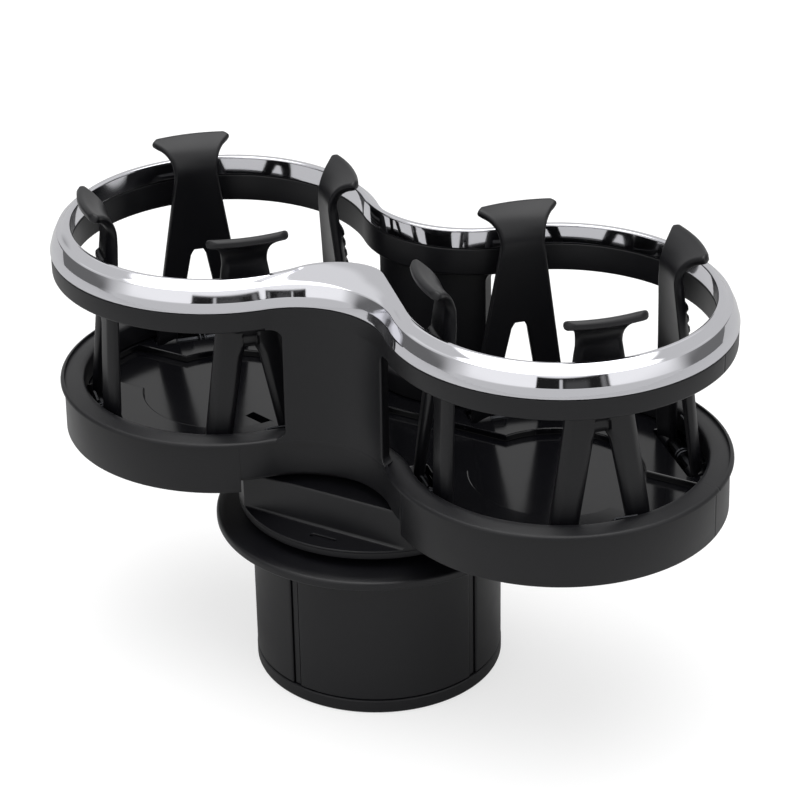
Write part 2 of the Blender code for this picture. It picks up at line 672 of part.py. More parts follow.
def strap_stations():
    """Places along the strap: radial and height of its centre, its direction, half-width and thickness."""
    lean = math.atan(FINGER_LEAN)
    upright = math.pi / 2 + lean
    made = []
    for height, half in ((0, LEG_HALF), (LEG_TAPER_START, LEG_HALF), (NECK_HEIGHT, NECK_HALF)):
        made.append((FINGER_ROOT_OUT - FINGER_LEAN * height, height, upright, half, FINGER_THICK))
    u, w = made[-1][:2]
    cu = u + HEAD_BEND * math.cos(lean)
    cw = w + HEAD_BEND * math.sin(lean)
    arc_length = HEAD_BEND * HEAD_TURN
    whole = arc_length + HEAD_FLAT
    for i in range(1, HEAD_STEPS + 1):
        turn = HEAD_TURN * i / HEAD_STEPS
        angle = math.pi + lean - turn
        share = arc_length * i / HEAD_STEPS / whole
        half = NECK_HALF + (HEAD_HALF - NECK_HALF) * share**2
        made.append((cu + HEAD_BEND * math.cos(angle), cw + HEAD_BEND * math.sin(angle), upright - turn, half,
                     FINGER_THICK))
    u, w, heading = made[-1][:3]
    u += HEAD_FLAT * math.cos(heading)
    w += HEAD_FLAT * math.sin(heading)
    made.append((u, w, heading, HEAD_HALF, FINGER_THICK))
    tip = TIP_TAPER * FINGER_THICK
    made.append((u + tip / 2 * math.cos(heading), w + tip / 2 * math.sin(heading), heading,
                 HEAD_HALF - (FINGER_THICK - tip) / 2, tip))
    return made


def strap_mesh():
    """The strap lofted from its stations, bowed in plan to follow the cup."""
    shape = bmesh.new()
    rows = []
    for u, w, heading, half, thick in strap_stations():
        out = (math.sin(heading), -math.cos(heading))
        row = []
        for t, n in strap_section(half, thick):
            bow = t * t / (2 * FINGER_CURVE)
            row.append(shape.verts.new((u + n * out[0] - bow, t, w + n * out[1])))
        rows.append(row)
    for a, b in zip(rows, rows[1:]):
        for j in range(len(a)):
            k = (j + 1) % len(a)
            shape.faces.new((a[j], a[k], b[k], b[j]))
    shape.faces.new(rows[0])
    shape.faces.new(rows[-1])
    return mesh_from(shape, "strap")


def rack_mesh():
    """Ridges across the outer face of the strap, as one toothed rib."""
    sunk = FINGER_THICK / 2
    line = []
    for i in range(TOOTH_COUNT):
        base = TOOTH_START + i * TOOTH_PITCH
        line += [(0, base), (TOOTH_HEIGHT, base + TOOTH_RAMP * TOOTH_PITCH)]
        line += [(TOOTH_HEIGHT, base + TOOTH_DROP * TOOTH_PITCH)]
    line += [(0, TOOTH_START + TOOTH_COUNT * TOOTH_PITCH)]
    face = FINGER_THICK / 2
    outside = [(FINGER_ROOT_OUT - FINGER_LEAN * w + face + n, w) for n, w in line]
    inside = [(u - sunk, w) for u, w in (outside[-1], outside[0])]
    mesh = extruded("rack", [outside + inside], -TOOTH_HALF, TOOTH_HALF)
    return moved(mesh, Matrix.Rotation(math.pi / 2, 4, "X"))


def slot_mesh():
    """The gap between the legs: an upside-down V with a small flat top."""
    low = -HUB_RADIUS - CUT_OVER
    wide = SLOT_APEX_HALF + SLOT_SPREAD * (SLOT_APEX - low)
    shoulder = SLOT_APEX_HALF + SLOT_SPREAD * SLOT_ROUND
    top = SLOT_APEX_HALF - SLOT_ROUND / 2
    line = [(-wide, low), (wide, low), (shoulder, SLOT_APEX - SLOT_ROUND), (top, SLOT_APEX)]
    line += [(-top, SLOT_APEX), (-shoulder, SLOT_APEX - SLOT_ROUND)]
    reach = FINGER_THICK + CUT_FAR
    mesh = extruded("slot", [line], -reach, reach)
    return moved(mesh, Matrix.Rotation(math.pi / 2, 4, "Z") @ Matrix.Rotation(math.pi / 2, 4, "X"))


def along_pin(mesh):
    """Turns a rod from Z to the pin's direction."""
    return moved(mesh, Matrix.Rotation(math.pi / 2, 4, "X"))


def build_fingers():
    """Eight fingers on their pins, each with a torsion spring between its legs."""
    finger = carve("finger", strap_mesh(), [
        ("UNION", along_pin(rod("hub", HUB_RADIUS, -LEG_HALF, LEG_HALF, HUB_SIDES))),
        ("UNION", rack_mesh()),
        ("DIFFERENCE", slot_mesh()),
        ("DIFFERENCE", along_pin(rod("bore", PIN_RADIUS + CLEAR, -2 * LEG_HALF, 2 * LEG_HALF, PIN_SIDES))),
    ])
    pin_half = LEG_HALF + CLEAR + PIN_SEAT
    pin = along_pin(rod("pin", PIN_RADIUS, -pin_half, pin_half, PIN_SIDES))
    spring = spring_mesh()
    for name, matrix in finger_places():
        part(f"finger_{name}", finger, FINGER_NYLON, matrix)
        part(f"pin_{name}", pin, STEEL, matrix)
        part(f"spring_{name}", spring, SPRING_STEEL, matrix)


def spring_points():
    """Torsion spring: a coil on the pin and a foot towards the pocket wall."""
    start = -COIL_TURNS * COIL_PITCH / 2
    points = [(POCKET_OUT - WIRE_RADIUS - CLEAR, start, -COIL_RADIUS)]
    for i in range(COIL_TURNS * COIL_STEPS + 1):
        turn = -math.pi / 2 - 2 * math.pi * i / COIL_STEPS
        along = start + COIL_PITCH * i / COIL_STEPS
        points.append((COIL_RADIUS * math.cos(turn), along, COIL_RADIUS * math.sin(turn)))
    return points


def spring_mesh():
    """The spring's wire as a bevelled poly curve, with its arm and the hook behind one leg."""
    curve = bpy.data.curves.new("spring", "CURVE")
    curve.dimensions = "3D"
    curve.bevel_depth = WIRE_RADIUS
    curve.bevel_resolution = 1
    curve.use_fill_caps = True
    route = spring_points()
    face = FINGER_THICK / 2 + WIRE_RADIUS + CLEAR
    side = route[-1][1] + COIL_PITCH / 3
    arm_u = max(FINGER_ROOT_OUT - FINGER_LEAN * SPRING_ARM + face, COIL_RADIUS)
    route += [(COIL_RADIUS, side, 0), (arm_u, side, SPRING_ARM - SPRING_BEND)]
    route += [(arm_u, side + SPRING_BEND, SPRING_ARM), (arm_u, SPRING_HOOK, SPRING_ARM)]
    spline = curve.splines.new("POLY")
    spline.points.add(len(route) - 1)
    for point, (x, y, z) in zip(spline.points, route):
        point.co = (x, y, z, 1)
    holder = bpy.data.objects.new("spring", curve)
    guides.objects.link(holder)
    mesh = evaluated_mesh(holder, "spring")
    bpy.data.objects.remove(holder)
    return mesh


# Boss, collar and base

def groove_outline(start_turn):
    """Plan of one scroll groove: an arc whose radius grows by the jaw travel over the collar's turn."""
    half = FOLLOWER_RADIUS + CLEAR
    inner, outside = [], []
    for i in range(GROOVE_STEPS + 1):
        turn = start_turn - COLLAR_TURN * i / GROOVE_STEPS
        radius = FOLLOWER_CIRCLE + JAW_TRAVEL * i / GROOVE_STEPS
        inner.append(((radius - half) * math.cos(turn), (radius - half) * math.sin(turn)))
        outside.append(((radius + half) * math.cos(turn), (radius + half) * math.sin(turn)))
    first = (FOLLOWER_CIRCLE * math.cos(start_turn), FOLLOWER_CIRCLE * math.sin(start_turn))
    end_turn = start_turn - COLLAR_TURN
    end_radius = FOLLOWER_CIRCLE + JAW_TRAVEL
    last = (end_radius * math.cos(end_turn), end_radius * math.sin(end_turn))
    cap_start = arc(*first, half, start_turn + math.pi, start_turn, 4)[1:-1]
    cap_end = arc(*last, half, end_turn, end_turn - math.pi, 4)[1:-1]
    return cap_start + outside + cap_end + inner[::-1]


def jaw_turns():
    """Direction of each jaw."""
    return [BASE_TURN + math.radians(45 + 90 * i) for i in range(4)]


def fin_turns():
    """Direction of each fin of the core."""
    return [BASE_TURN + math.radians(90 * i) for i in range(4)]


def build_boss():
    """Swivel boss: a D-shaped puck on a thin disc, hollow from above, with its bearing and screw posts."""
    bore = POST_RADIUS + CLEAR
    edge = EDGE_BREAK
    blank = turned("boss_blank", [
        (bore, BOSS_SEAT), (WELL_RADIUS, BOSS_SEAT), (WELL_RADIUS, BOSS_TOP), (BOSS_RADIUS - edge, BOSS_TOP),
        (BOSS_RADIUS, BOSS_TOP - edge), (BOSS_RADIUS, BOSS_BOTTOM + edge), (BOSS_RADIUS - edge, BOSS_BOTTOM),
        (bore, BOSS_BOTTOM),
    ])
    r = BOSS_FILLET
    far = BOSS_RADIUS + CUT_FAR
    line = [(-far, BOSS_DISC_TOP)] + arc(-BOSS_FLAT - r, BOSS_DISC_TOP + r, r, -math.pi / 2, 0, CORNER_STEPS)
    line += [(-BOSS_FLAT, BOSS_TOP + CUT_FAR), (-far, BOSS_TOP + CUT_FAR)]
    flat = extruded("boss_flat", [line], -far, far)
    moved(flat, Matrix.Rotation(math.pi / 2, 4, "Z") @ Matrix.Rotation(math.pi / 2, 4, "X"))
    inner = BOSS_RADIUS - BOSS_WALL
    flat_inner = BOSS_FLAT - BOSS_WALL
    turn = math.asin(flat_inner / inner)
    high = BOSS_TOP + CUT_FAR
    inside = extruded("boss_inside", [arc(0, 0, inner, -turn, math.pi + turn, 20)], BOSS_DISC_TOP, high)
    low = BOSS_DISC_TOP - CUT_OVER
    hub = rod("boss_hub", BOSS_HUB_RADIUS, low, high + CUT_OVER, BOSS_HUB_SIDES)
    posts = [moved(rod("post", BOSS_POST_RADIUS, low, high + CUT_OVER, PIN_SIDES), place(x, y))
             for x, y in boss_screw_places()]
    hollow = carve("boss_hollow", inside, [
        ("DIFFERENCE", hub), ("DIFFERENCE", gathered("boss_posts", posts)),
    ])
    pilots = [moved(rod("pilot", SCREW_RADIUS + CLEAR, BOSS_TOP - SCREW_GRIP, high, SCREW_SIDES), place(x, y))
              for x, y in boss_screw_places()]
    mark_y = MARK_INSET - BOSS_RADIUS
    mark = box("mark", (-MARK_LENGTH / 2, mark_y - MARK_WIDTH / 2, BOSS_DISC_TOP - MARK_DEPTH),
               (MARK_LENGTH / 2, mark_y + MARK_WIDTH / 2, BOSS_DISC_TOP + CUT_OVER))
    part("swivel_boss", carve("swivel_boss", blank, [
        ("DIFFERENCE", flat), ("DIFFERENCE", hollow), ("DIFFERENCE", gathered("boss_pilots", pilots)),
        ("DIFFERENCE", mark),
    ]), SATIN_ABS)


def build_collar():
    """Expander collar: a flange turned by hand, with four scroll grooves beneath for the jaws."""
    bore = POST_RADIUS + CLEAR
    rim = COLLAR_RADIUS
    hub = rim - COLLAR_SLOPE_WIDTH
    edge = COLLAR_BOTTOM + COLLAR_EDGE_THICK
    r = COLLAR_ROUND
    blank = turned("collar_blank", [
        (bore, BOSS_BOTTOM - CLEAR), (hub, BOSS_BOTTOM - CLEAR), (hub, COLLAR_BOTTOM + COLLAR_THICK),
        *arc(rim - r, edge - r, r, math.pi / 2, 0, 3), (rim, COLLAR_BOTTOM + EDGE_BREAK),
        (rim - EDGE_BREAK, COLLAR_BOTTOM), (bore, COLLAR_BOTTOM),
    ])
    grooves = [extruded("groove", [groove_outline(t)], COLLAR_BOTTOM - CUT_OVER, COLLAR_BOTTOM + GROOVE_DEPTH)
               for t in jaw_turns()]
    part("expander_collar", carve("expander_collar", blank, [
        ("DIFFERENCE", gathered("grooves", grooves)),
    ]), SATIN_ABS)


def build_base():
    """Base plate, guide core with its fins, the four jaws, and the bolt that holds the stack."""
    core_bottom = BASE_PLATE_THICK + CLEAR
    post_top = BOSS_SEAT + CLEAR
    washer_bottom = post_top + CLEAR
    head_bottom = washer_bottom + WASHER_THICK + CLEAR
    bolt_end = head_bottom - BOLT_LENGTH
    follower_top = COLLAR_BOTTOM + GROOVE_DEPTH - 2 * CLEAR
    arm_top = BASE_HEIGHT - ARM_DROP

    plate = rod("plate", BASE_RADIUS + BASE_PLATE_PROUD, 0, BASE_PLATE_THICK, ROUND_STEPS)
    sinks = [moved(rod("sink", SCREW_HEAD_RADIUS + 2 * CLEAR, -CUT_OVER, SCREW_HEAD + 3 * CLEAR, PIN_SIDES),
                   place(x, y)) for x, y in base_screw_places()]
    bore_top = BASE_PLATE_THICK + CUT_OVER
    bores = [moved(rod("bore", SCREW_RADIUS + CLEAR, 0, bore_top, SCREW_SIDES), place(x, y))
             for x, y in base_screw_places()]
    part("base_plate", carve("base_plate", plate, [
        ("DIFFERENCE", gathered("plate_sinks", sinks)),
        ("DIFFERENCE", gathered("plate_bores", bores)),
    ]), SATIN_ABS)

    blank = turned("core_blank", [
        (BOLT_RADIUS + CLEAR, post_top), (POST_RADIUS, post_top), (POST_RADIUS, BASE_HEIGHT),
        (CORE_RADIUS, BASE_HEIGHT), (CORE_RADIUS, core_bottom), (BOLT_RADIUS + CLEAR, core_bottom),
    ], CORE_STEPS)
    fins = [box("fin", (CORE_RADIUS - FIN_ROOT, -FIN_THICK / 2, core_bottom),
                (BASE_RADIUS - FIN_INSET, FIN_THICK / 2, BASE_HEIGHT), place(turn=t)) for t in fin_turns()]
    slot_half = ARM_HALF + CLEAR
    slots = [box("slot", (ARM_END - CLEAR, -slot_half, core_bottom - CUT_OVER),
                 (CORE_RADIUS + CUT_OVER, slot_half, arm_top + CLEAR), place(turn=t)) for t in jaw_turns()]
    pilots = [moved(rod("pilot", SCREW_RADIUS + CLEAR, core_bottom - CUT_OVER, core_bottom + SCREW_GRIP,
                        SCREW_SIDES), place(x, y)) for x, y in base_screw_places()]
    part("base_core", carve("base_core", blank, [
        ("UNION", gathered("fins", fins)),
        ("DIFFERENCE", gathered("slots", slots)),
        ("DIFFERENCE", gathered("core_pilots", pilots)),
    ]), SATIN_ABS)

    gap = FIN_THICK / 2 + CLEAR
    inner = BASE_RADIUS - JAW_WALL
    spread_out = math.radians(45) - math.asin(gap / BASE_RADIUS)
    spread_in = math.radians(45) - math.asin(gap / inner)
    line = arc(0, 0, BASE_RADIUS, -spread_out, spread_out, 9) + arc(0, 0, inner, spread_in, -spread_in, 9)
    jaw = carve("jaw", extruded("jaw_wall", [line], core_bottom, BASE_HEIGHT), [
        ("UNION", box("arm_low", (ARM_END, -ARM_HALF, core_bottom + CLEAR),
                      (inner + JAW_WALL / 2, ARM_HALF, core_bottom + ARM_THICK))),
        ("UNION", box("arm_high", (ARM_END, -ARM_HALF, arm_top - ARM_THICK),
                      (inner + JAW_WALL / 2, ARM_HALF, arm_top))),
        ("UNION", moved(rod("follower", FOLLOWER_RADIUS, arm_top - ARM_THICK / 2, follower_top, HUB_SIDES),
                        place(FOLLOWER_CIRCLE))),
    ])
    for number, turn in enumerate(jaw_turns(), 1):
        part(f"jaw_{number}", jaw, SATIN_ABS, place(turn=turn))

    washer = turned("washer", [
        (BOLT_RADIUS + CLEAR, washer_bottom + WASHER_THICK), (WASHER_RADIUS, washer_bottom + WASHER_THICK),
        (WASHER_RADIUS, washer_bottom), (BOLT_RADIUS + CLEAR, washer_bottom),
    ], WASHER_STEPS)
    part("centre_washer", washer, STEEL)
    head = rod("bolt_head", BOLT_HEAD_RADIUS, head_bottom, head_bottom + BOLT_HEAD, 6)
    shank = rod("bolt_shank", BOLT_RADIUS, bolt_end, head_bottom + BOLT_HEAD / 2, BOLT_SIDES)
    part("centre_bolt", carve("centre_bolt", head, [("UNION", shank)]), STEEL)


def base_screw_places():
    """Plan positions of the screws that hold the plate to the core, one under each fin."""
    return [(BASE_SCREW_CIRCLE * math.cos(t), BASE_SCREW_CIRCLE * math.sin(t)) for t in fin_turns()]


def screw_mesh(name, head_low, head_high, shank_end):
    """A small screw: a cone head and a plain shank, which may point up or down."""
    up = shank_end > head_high
    wide, narrow = SCREW_HEAD_RADIUS, SCREW_RADIUS
    head = rod("head", wide if up else narrow, head_low, head_high, PIN_SIDES, narrow if up else wide)
    middle = (head_low + head_high) / 2
    low, high = sorted((middle, shank_end))
    return carve(name, head, [("UNION", rod("shank", SCREW_RADIUS, low, high, SCREW_SIDES))])


def build_screws():
    """Three sets of screws: cover to tray, boss to cover, base plate to core."""
    head_top = COVER_BOTTOM - CLEAR
    cover = screw_mesh("cover_screw", head_top - SCREW_HEAD, head_top, TRAY_BOTTOM + COVER_SCREW_GRIP)
    boss = screw_mesh("boss_screw", COVER_PLATE_TOP - SCREW_HEAD, COVER_PLATE_TOP,
                      BOSS_TOP - SCREW_GRIP + SCREW_GAP)
    base = screw_mesh("base_screw", CLEAR, CLEAR + SCREW_HEAD, BASE_PLATE_THICK + SCREW_GRIP - SCREW_GAP)
    sets = (("cover_screw", cover, cover_screw_places()), ("boss_screw", boss, boss_screw_places()),
            ("base_screw", base, base_screw_places()))
    for name, mesh, spots in sets:
        for number, (x, y) in enumerate(spots, 1):
            part(f"{name}_{number}", mesh, STEEL, place(x, y))


build_main_frame()
build_trim()
build_tray()
build_cover()
build_fingers()
build_boss()
build_collar()
build_base()
build_screws()
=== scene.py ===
"""Looks of the car cup holder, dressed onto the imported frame."""
import math

import bmesh
import bpy
import numpy as np
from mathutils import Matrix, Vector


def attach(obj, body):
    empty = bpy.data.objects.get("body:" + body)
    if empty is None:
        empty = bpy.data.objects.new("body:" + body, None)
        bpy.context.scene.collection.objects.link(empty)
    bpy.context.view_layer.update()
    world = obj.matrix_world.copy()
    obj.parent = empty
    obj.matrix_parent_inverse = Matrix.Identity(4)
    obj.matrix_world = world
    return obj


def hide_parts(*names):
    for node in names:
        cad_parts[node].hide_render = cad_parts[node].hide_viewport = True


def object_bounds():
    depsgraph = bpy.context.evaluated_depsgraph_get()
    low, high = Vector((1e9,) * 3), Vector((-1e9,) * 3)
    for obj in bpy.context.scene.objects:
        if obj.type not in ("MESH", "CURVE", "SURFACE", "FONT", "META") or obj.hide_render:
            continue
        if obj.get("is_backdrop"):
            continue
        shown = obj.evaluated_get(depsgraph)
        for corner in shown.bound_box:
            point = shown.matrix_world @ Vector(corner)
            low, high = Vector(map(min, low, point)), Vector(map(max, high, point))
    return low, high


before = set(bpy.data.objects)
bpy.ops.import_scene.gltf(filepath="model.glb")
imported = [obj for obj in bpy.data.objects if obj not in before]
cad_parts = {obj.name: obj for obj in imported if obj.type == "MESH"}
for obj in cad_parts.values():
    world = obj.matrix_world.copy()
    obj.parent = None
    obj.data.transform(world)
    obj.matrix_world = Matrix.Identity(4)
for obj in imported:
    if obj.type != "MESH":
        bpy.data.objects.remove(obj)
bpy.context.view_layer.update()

# Main frame
# One moulding in black ABS: the upper hoop, two waist panels, the ledge and the skirt round the floor.
# The mould is spark eroded, so its faces are satin with a fine grain, and every edge is eased.

MM = 0.001
RING_OFFSET = 52.5
RING_MID_X = 4.2
BAND_RADIUS = 47.1
WAIST_HALF = 24.3
OPENING_RADIUS = 41.2
OPENING_FRONT = 9.4
OPENING_BACK = 18.9
OPENING_SHOULDER = 10.0
NOTCH_HALF = 24.5
NOTCH_TOP = 68.5
HOOP_TOP = 121.0
HOOP_BOTTOM = 113.0
HOOP_WALL = 2.0
HOOP_WEB = 3.2
HOOP_EASE = 0.8
REBATE_DEPTH = 1.7
REBATE_HEIGHT = 2.2
TRIM_SEAT = 1.2
PANEL_WALL = 3.2
PANEL_HALF = {-1: 15.3, 1: 16.8}
PANEL_CORNER = 3.0
PANEL_FOOT = 1.6
PANEL_RUN = 2.0
PANEL_INSET = 0.015
SEAM_DEPTH = 0.12
SEAM_TURN = 0.0035
LEDGE_TOP = 79.9
LEDGE_FLARE = 0.2
LEDGE_WIDTH = 7.0
LEDGE_THICK = 2.2
LEDGE_EASE = 1.1
LIP_EASE = 1.6
LIP_WALL = 2.0
LIP_BOTTOM = 73.0
SKIRT_BOTTOM = 64.1
SKIRT_DRAFT = 0.9
SKIRT_WALL = 2.5
RING_CENTRES = {"left": RING_MID_X - RING_OFFSET, "right": RING_MID_X + RING_OFFSET}


def linear(hex_colour):
    """An sRGB hex colour as linear red, green, blue and alpha."""
    parts = [int(hex_colour[i:i + 2], 16) / 255 for i in (1, 3, 5)]
    return [c / 12.92 if c <= 0.04045 else ((c + 0.055) / 1.055) ** 2.4 for c in parts] + [1.0]


def add_node(tree, kind, inputs=None, **settings):
    """Adds a shader node with its settings and links; inputs are values or other nodes' outputs by socket."""
    made = tree.nodes.new(kind)
    for key, value in settings.items():
        setattr(made, key, value)
    for key, value in (inputs or {}).items():
        if isinstance(value, bpy.types.NodeSocket):
            tree.links.new(value, made.inputs[key])
        else:
            made.inputs[key].default_value = value
    return made


def moulded_plastic(name, colour, roughness, grain_mm, relief_mm, wave_mm=0.0, dust=0.0):
    """A moulded plastic: a grain of one size, roughness that varies in soft clouds, slow waves in the face,
    and specks of pale dust."""
    cloud_mm, speck_mm, wave_size_mm = 22.2, 0.6, 14
    made = bpy.data.materials.new(name)
    made.use_nodes = True
    tree = made.node_tree
    shader = tree.nodes["Principled BSDF"]
    shader.inputs["IOR"].default_value = 1.52
    shader.inputs["Specular IOR Level"].default_value = 0.44
    where = add_node(tree, "ShaderNodeTexCoord").outputs["Object"]
    clouds = add_node(tree, "ShaderNodeTexNoise", {"Vector": where, "Scale": 1000 / cloud_mm, "Detail": 4.0})
    spread = add_node(tree, "ShaderNodeMapRange", {
        "Value": clouds.outputs["Fac"], "From Min": 0.3, "From Max": 0.7,
        "To Min": roughness * 0.88, "To Max": roughness * 1.12})
    tree.links.new(spread.outputs["Result"], shader.inputs["Roughness"])
    specks = add_node(tree, "ShaderNodeTexNoise", {"Vector": where, "Scale": 1000 / speck_mm, "Detail": 0.0})
    dusty = add_node(tree, "ShaderNodeMapRange", {
        "Value": specks.outputs["Fac"], "From Min": 0.77, "From Max": 0.81, "To Max": dust})
    face = add_node(tree, "ShaderNodeMix", {
        0: dusty.outputs["Result"], 6: linear(colour), 7: linear("#8f8f92")}, data_type="RGBA")
    tree.links.new(face.outputs[2], shader.inputs["Base Color"])
    grain = add_node(tree, "ShaderNodeTexNoise", {"Vector": where, "Scale": 1000 / grain_mm, "Detail": 2.0})
    bump = add_node(tree, "ShaderNodeBump", {"Height": grain.outputs["Fac"], "Distance": relief_mm * MM})
    if wave_mm:
        waves = add_node(tree, "ShaderNodeTexNoise", {
            "Vector": where, "Scale": 1000 / wave_size_mm, "Detail": 1.0})
        slow = add_node(tree, "ShaderNodeBump", {"Height": waves.outputs["Fac"], "Distance": wave_mm * MM})
        tree.links.new(slow.outputs["Normal"], bump.inputs["Normal"])
    tree.links.new(bump.outputs["Normal"], shader.inputs["Normal"])
    return made


def lofted(rows, closed=False):
    """Quads over a stack of closed loops: loop i joins loop i + 1. The ends are capped by strips across the
    loop, or joined when closed."""
    count, size = rows.shape[:2]
    i = np.arange(count if closed else count - 1)[:, None]
    j = np.arange(size)[None]
    after, beside = (i + 1) % count, (j + 1) % size
    quads = np.stack([i * size + j, i * size + beside, after * size + beside, after * size + j], -1)
    quads = quads.reshape(-1, 4)
    if not closed:
        k = np.arange(size // 2 - 1)
        cap = np.stack([k, k + 1, size - 2 - k, size - 1 - k], -1)
        quads = np.concatenate([quads, cap[:, ::-1], cap + (count - 1) * size])
    return rows.reshape(-1, 3), quads


def piece(name, shells, surface, slot, body, *nodes, sharp=40):
    """One object of closed shells in millimetres, which rides on a body and stands for the named nodes."""
    starts = np.cumsum([0] + [len(points) for points, _ in shells[:-1]])
    points = np.concatenate([p for p, _ in shells]) * MM
    faces = [f + start for (_, f), start in zip(shells, starts)]
    sizes = np.concatenate([np.full(len(f), f.shape[1]) for f in faces])
    loops = np.concatenate([f.ravel() for f in faces])
    mesh = bpy.data.meshes.new(name)
    mesh.vertices.add(len(points))
    mesh.vertices.foreach_set("co", points.astype(np.float32).ravel())
    mesh.loops.add(len(loops))
    mesh.loops.foreach_set("vertex_index", loops.astype(np.int32))
    mesh.polygons.add(len(sizes))
    mesh.polygons.foreach_set("loop_start", (np.cumsum(sizes) - sizes).astype(np.int32))
    mesh.update(calc_edges=True)
    shape = bmesh.new()
    shape.from_mesh(mesh)
    bmesh.ops.recalc_face_normals(shape, faces=shape.faces)
    shape.to_mesh(mesh)
    shape.free()
    mesh.shade_smooth()
    mesh.set_sharp_from_angle(angle=math.radians(sharp))
    mesh.materials.append(surface)
    made = bpy.data.objects.new(name, mesh)
    bpy.context.scene.collection.objects.link(made)
    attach(made, body)
    if nodes:
        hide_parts(*nodes)
    return made


def plan(radius, front, back, shoulder=None):
    """Plan line and its outward normals: an arc of one radius about each ring centre, and at the front and
    the back of the waist an arc tangent to both, whose radius follows from the waist's half-width. Two points
    stand side by side where the notch in the skirt ends. A shoulder is a tighter arc, with which the front of
    the waist turns into a straight run to the right ring."""
    turn, bend = {}, {}
    for side, half in ((-1, front), (1, back)):
        bend[side] = (RING_OFFSET**2 + half**2 - radius**2) / (2 * (radius - half))
        turn[side] = math.atan2(bend[side] + half, RING_OFFSET)
    notch = math.acos((NOTCH_HALF - RING_OFFSET) / radius)
    step = 0.0005
    seam = [-SEAM_TURN, 0, SEAM_TURN]
    wide_arc = np.unique(np.concatenate([np.linspace(step - notch, notch - step, 261), seam]).round(9))
    tight = shoulder or bend[-1]
    reach = math.hypot(RING_OFFSET, front + tight)
    touch = math.atan2(front + tight, RING_OFFSET) + math.acos(min((radius + tight) / reach, 1))
    ring = np.concatenate([
        np.linspace(touch - math.pi, -notch - step, 12), wide_arc,
        np.linspace(notch + step, math.pi - turn[1], 12)[:-1]])
    waist_back = np.linspace(-turn[1], turn[1] - math.pi, 72)[:-1]
    left_ring = np.concatenate([
        np.linspace(turn[1], math.pi - notch - step, 12), math.pi + wide_arc,
        np.linspace(math.pi + notch + step, 2 * math.pi - turn[-1], 12)[:-1]])
    arcs = ((ring, RING_CENTRES["right"], 0, radius, 1),
            (waist_back, RING_MID_X, bend[1] + back, bend[1], -1),
            (left_ring, RING_CENTRES["left"], 0, radius, 1))
    points, normals = [], []
    for angles, x, y, r, sign in arcs:
        ray = np.stack([np.cos(angles), np.sin(angles)], -1)
        points.append([x, y] + r * ray)
        normals.append(sign * ray)
    left_half = np.linspace(math.pi - turn[-1], math.pi / 2, 120)
    right_half = np.linspace(math.pi / 2, touch, 120)[1:]
    path, away = [], []
    for angles, r in ((left_half, bend[-1]), (right_half, tight)):
        ray = np.stack([np.cos(angles), np.sin(angles)], -1)
        path.append([RING_MID_X, -r - front] + r * ray)
        away.append(-ray)
    path = np.concatenate(path + [points[0][:1]])
    away = np.concatenate(away + [away[1][-1:]])
    length = np.cumsum(np.r_[0, np.linalg.norm(np.diff(path, axis=0), axis=1)])
    even = np.linspace(0, length[-1], 72)[:-1]
    points.append(np.stack([np.interp(even, length, path[:, i]) for i in (0, 1)], -1))
    normals.append(np.stack([np.interp(even, length, away[:, i]) for i in (0, 1)], -1))
    return np.concatenate(points), np.concatenate(normals)


OUTER = plan(BAND_RADIUS, WAIST_HALF, WAIST_HALF)
OPENING = plan(OPENING_RADIUS, OPENING_FRONT, OPENING_BACK, OPENING_SHOULDER)


def swept(profile, seam=0.0):
    """A profile carried round the holder. Each of its points is a plan line, a distance outwards and a
    height, and gives the loop line + normal * distance at that height. A seam is a fine groove left by the
    mould at both ends of the holder."""
    rows = []
    for (line, normal), out, height in profile:
        out = out - seam * (np.abs(line[:, 1]) < 0.001) * (np.asarray(out) > -1)
        flat = line + normal * np.reshape(np.broadcast_to(out, len(line)), (-1, 1))
        rows.append(np.column_stack([flat, np.broadcast_to(height, len(line))]))
    return lofted(np.stack(rows), closed=True)


def eased(corners, steps=5):
    """A polyline of corners with a size each: a corner c is rounded by the parabola
    (1 - t)^2 a + 2 t (1 - t) c + t^2 b, whose ends a and b lie that far from it."""
    points = np.array([c[:2] for c in corners], float)
    made = [points[:1]]
    for i in range(1, len(points) - 1):
        size = corners[i][2]
        if not size:
            made.append(points[i:i + 1])
            continue
        ends = []
        for other in (points[i - 1], points[i + 1]):
            away = other - points[i]
            ends.append(points[i] + away * size / np.linalg.norm(away))
        t = np.linspace(0, 1, steps)[:, None]
        made.append((1 - t) ** 2 * ends[0] + 2 * t * (1 - t) * points[i] + t**2 * ends[1])
    return np.concatenate(made + [points[-1:]])


def along(line, corners, steps=5):
    """Profile points on one plan line, from corners given as outward distance, height and easing."""
    return [(line, out, height) for out, height in eased(corners, steps)]


def quarter(line, out, height, radius, down):
    """Profile points of a quarter round at the outer face, below or above a height."""
    made = []
    for turn in np.linspace(0, math.pi / 2, 6):
        near, far = radius * (1 - math.sin(turn)), radius * (1 - math.cos(turn))
        made.append((line, out - far, height + near) if down else (line, out - near, height - far))
    return made


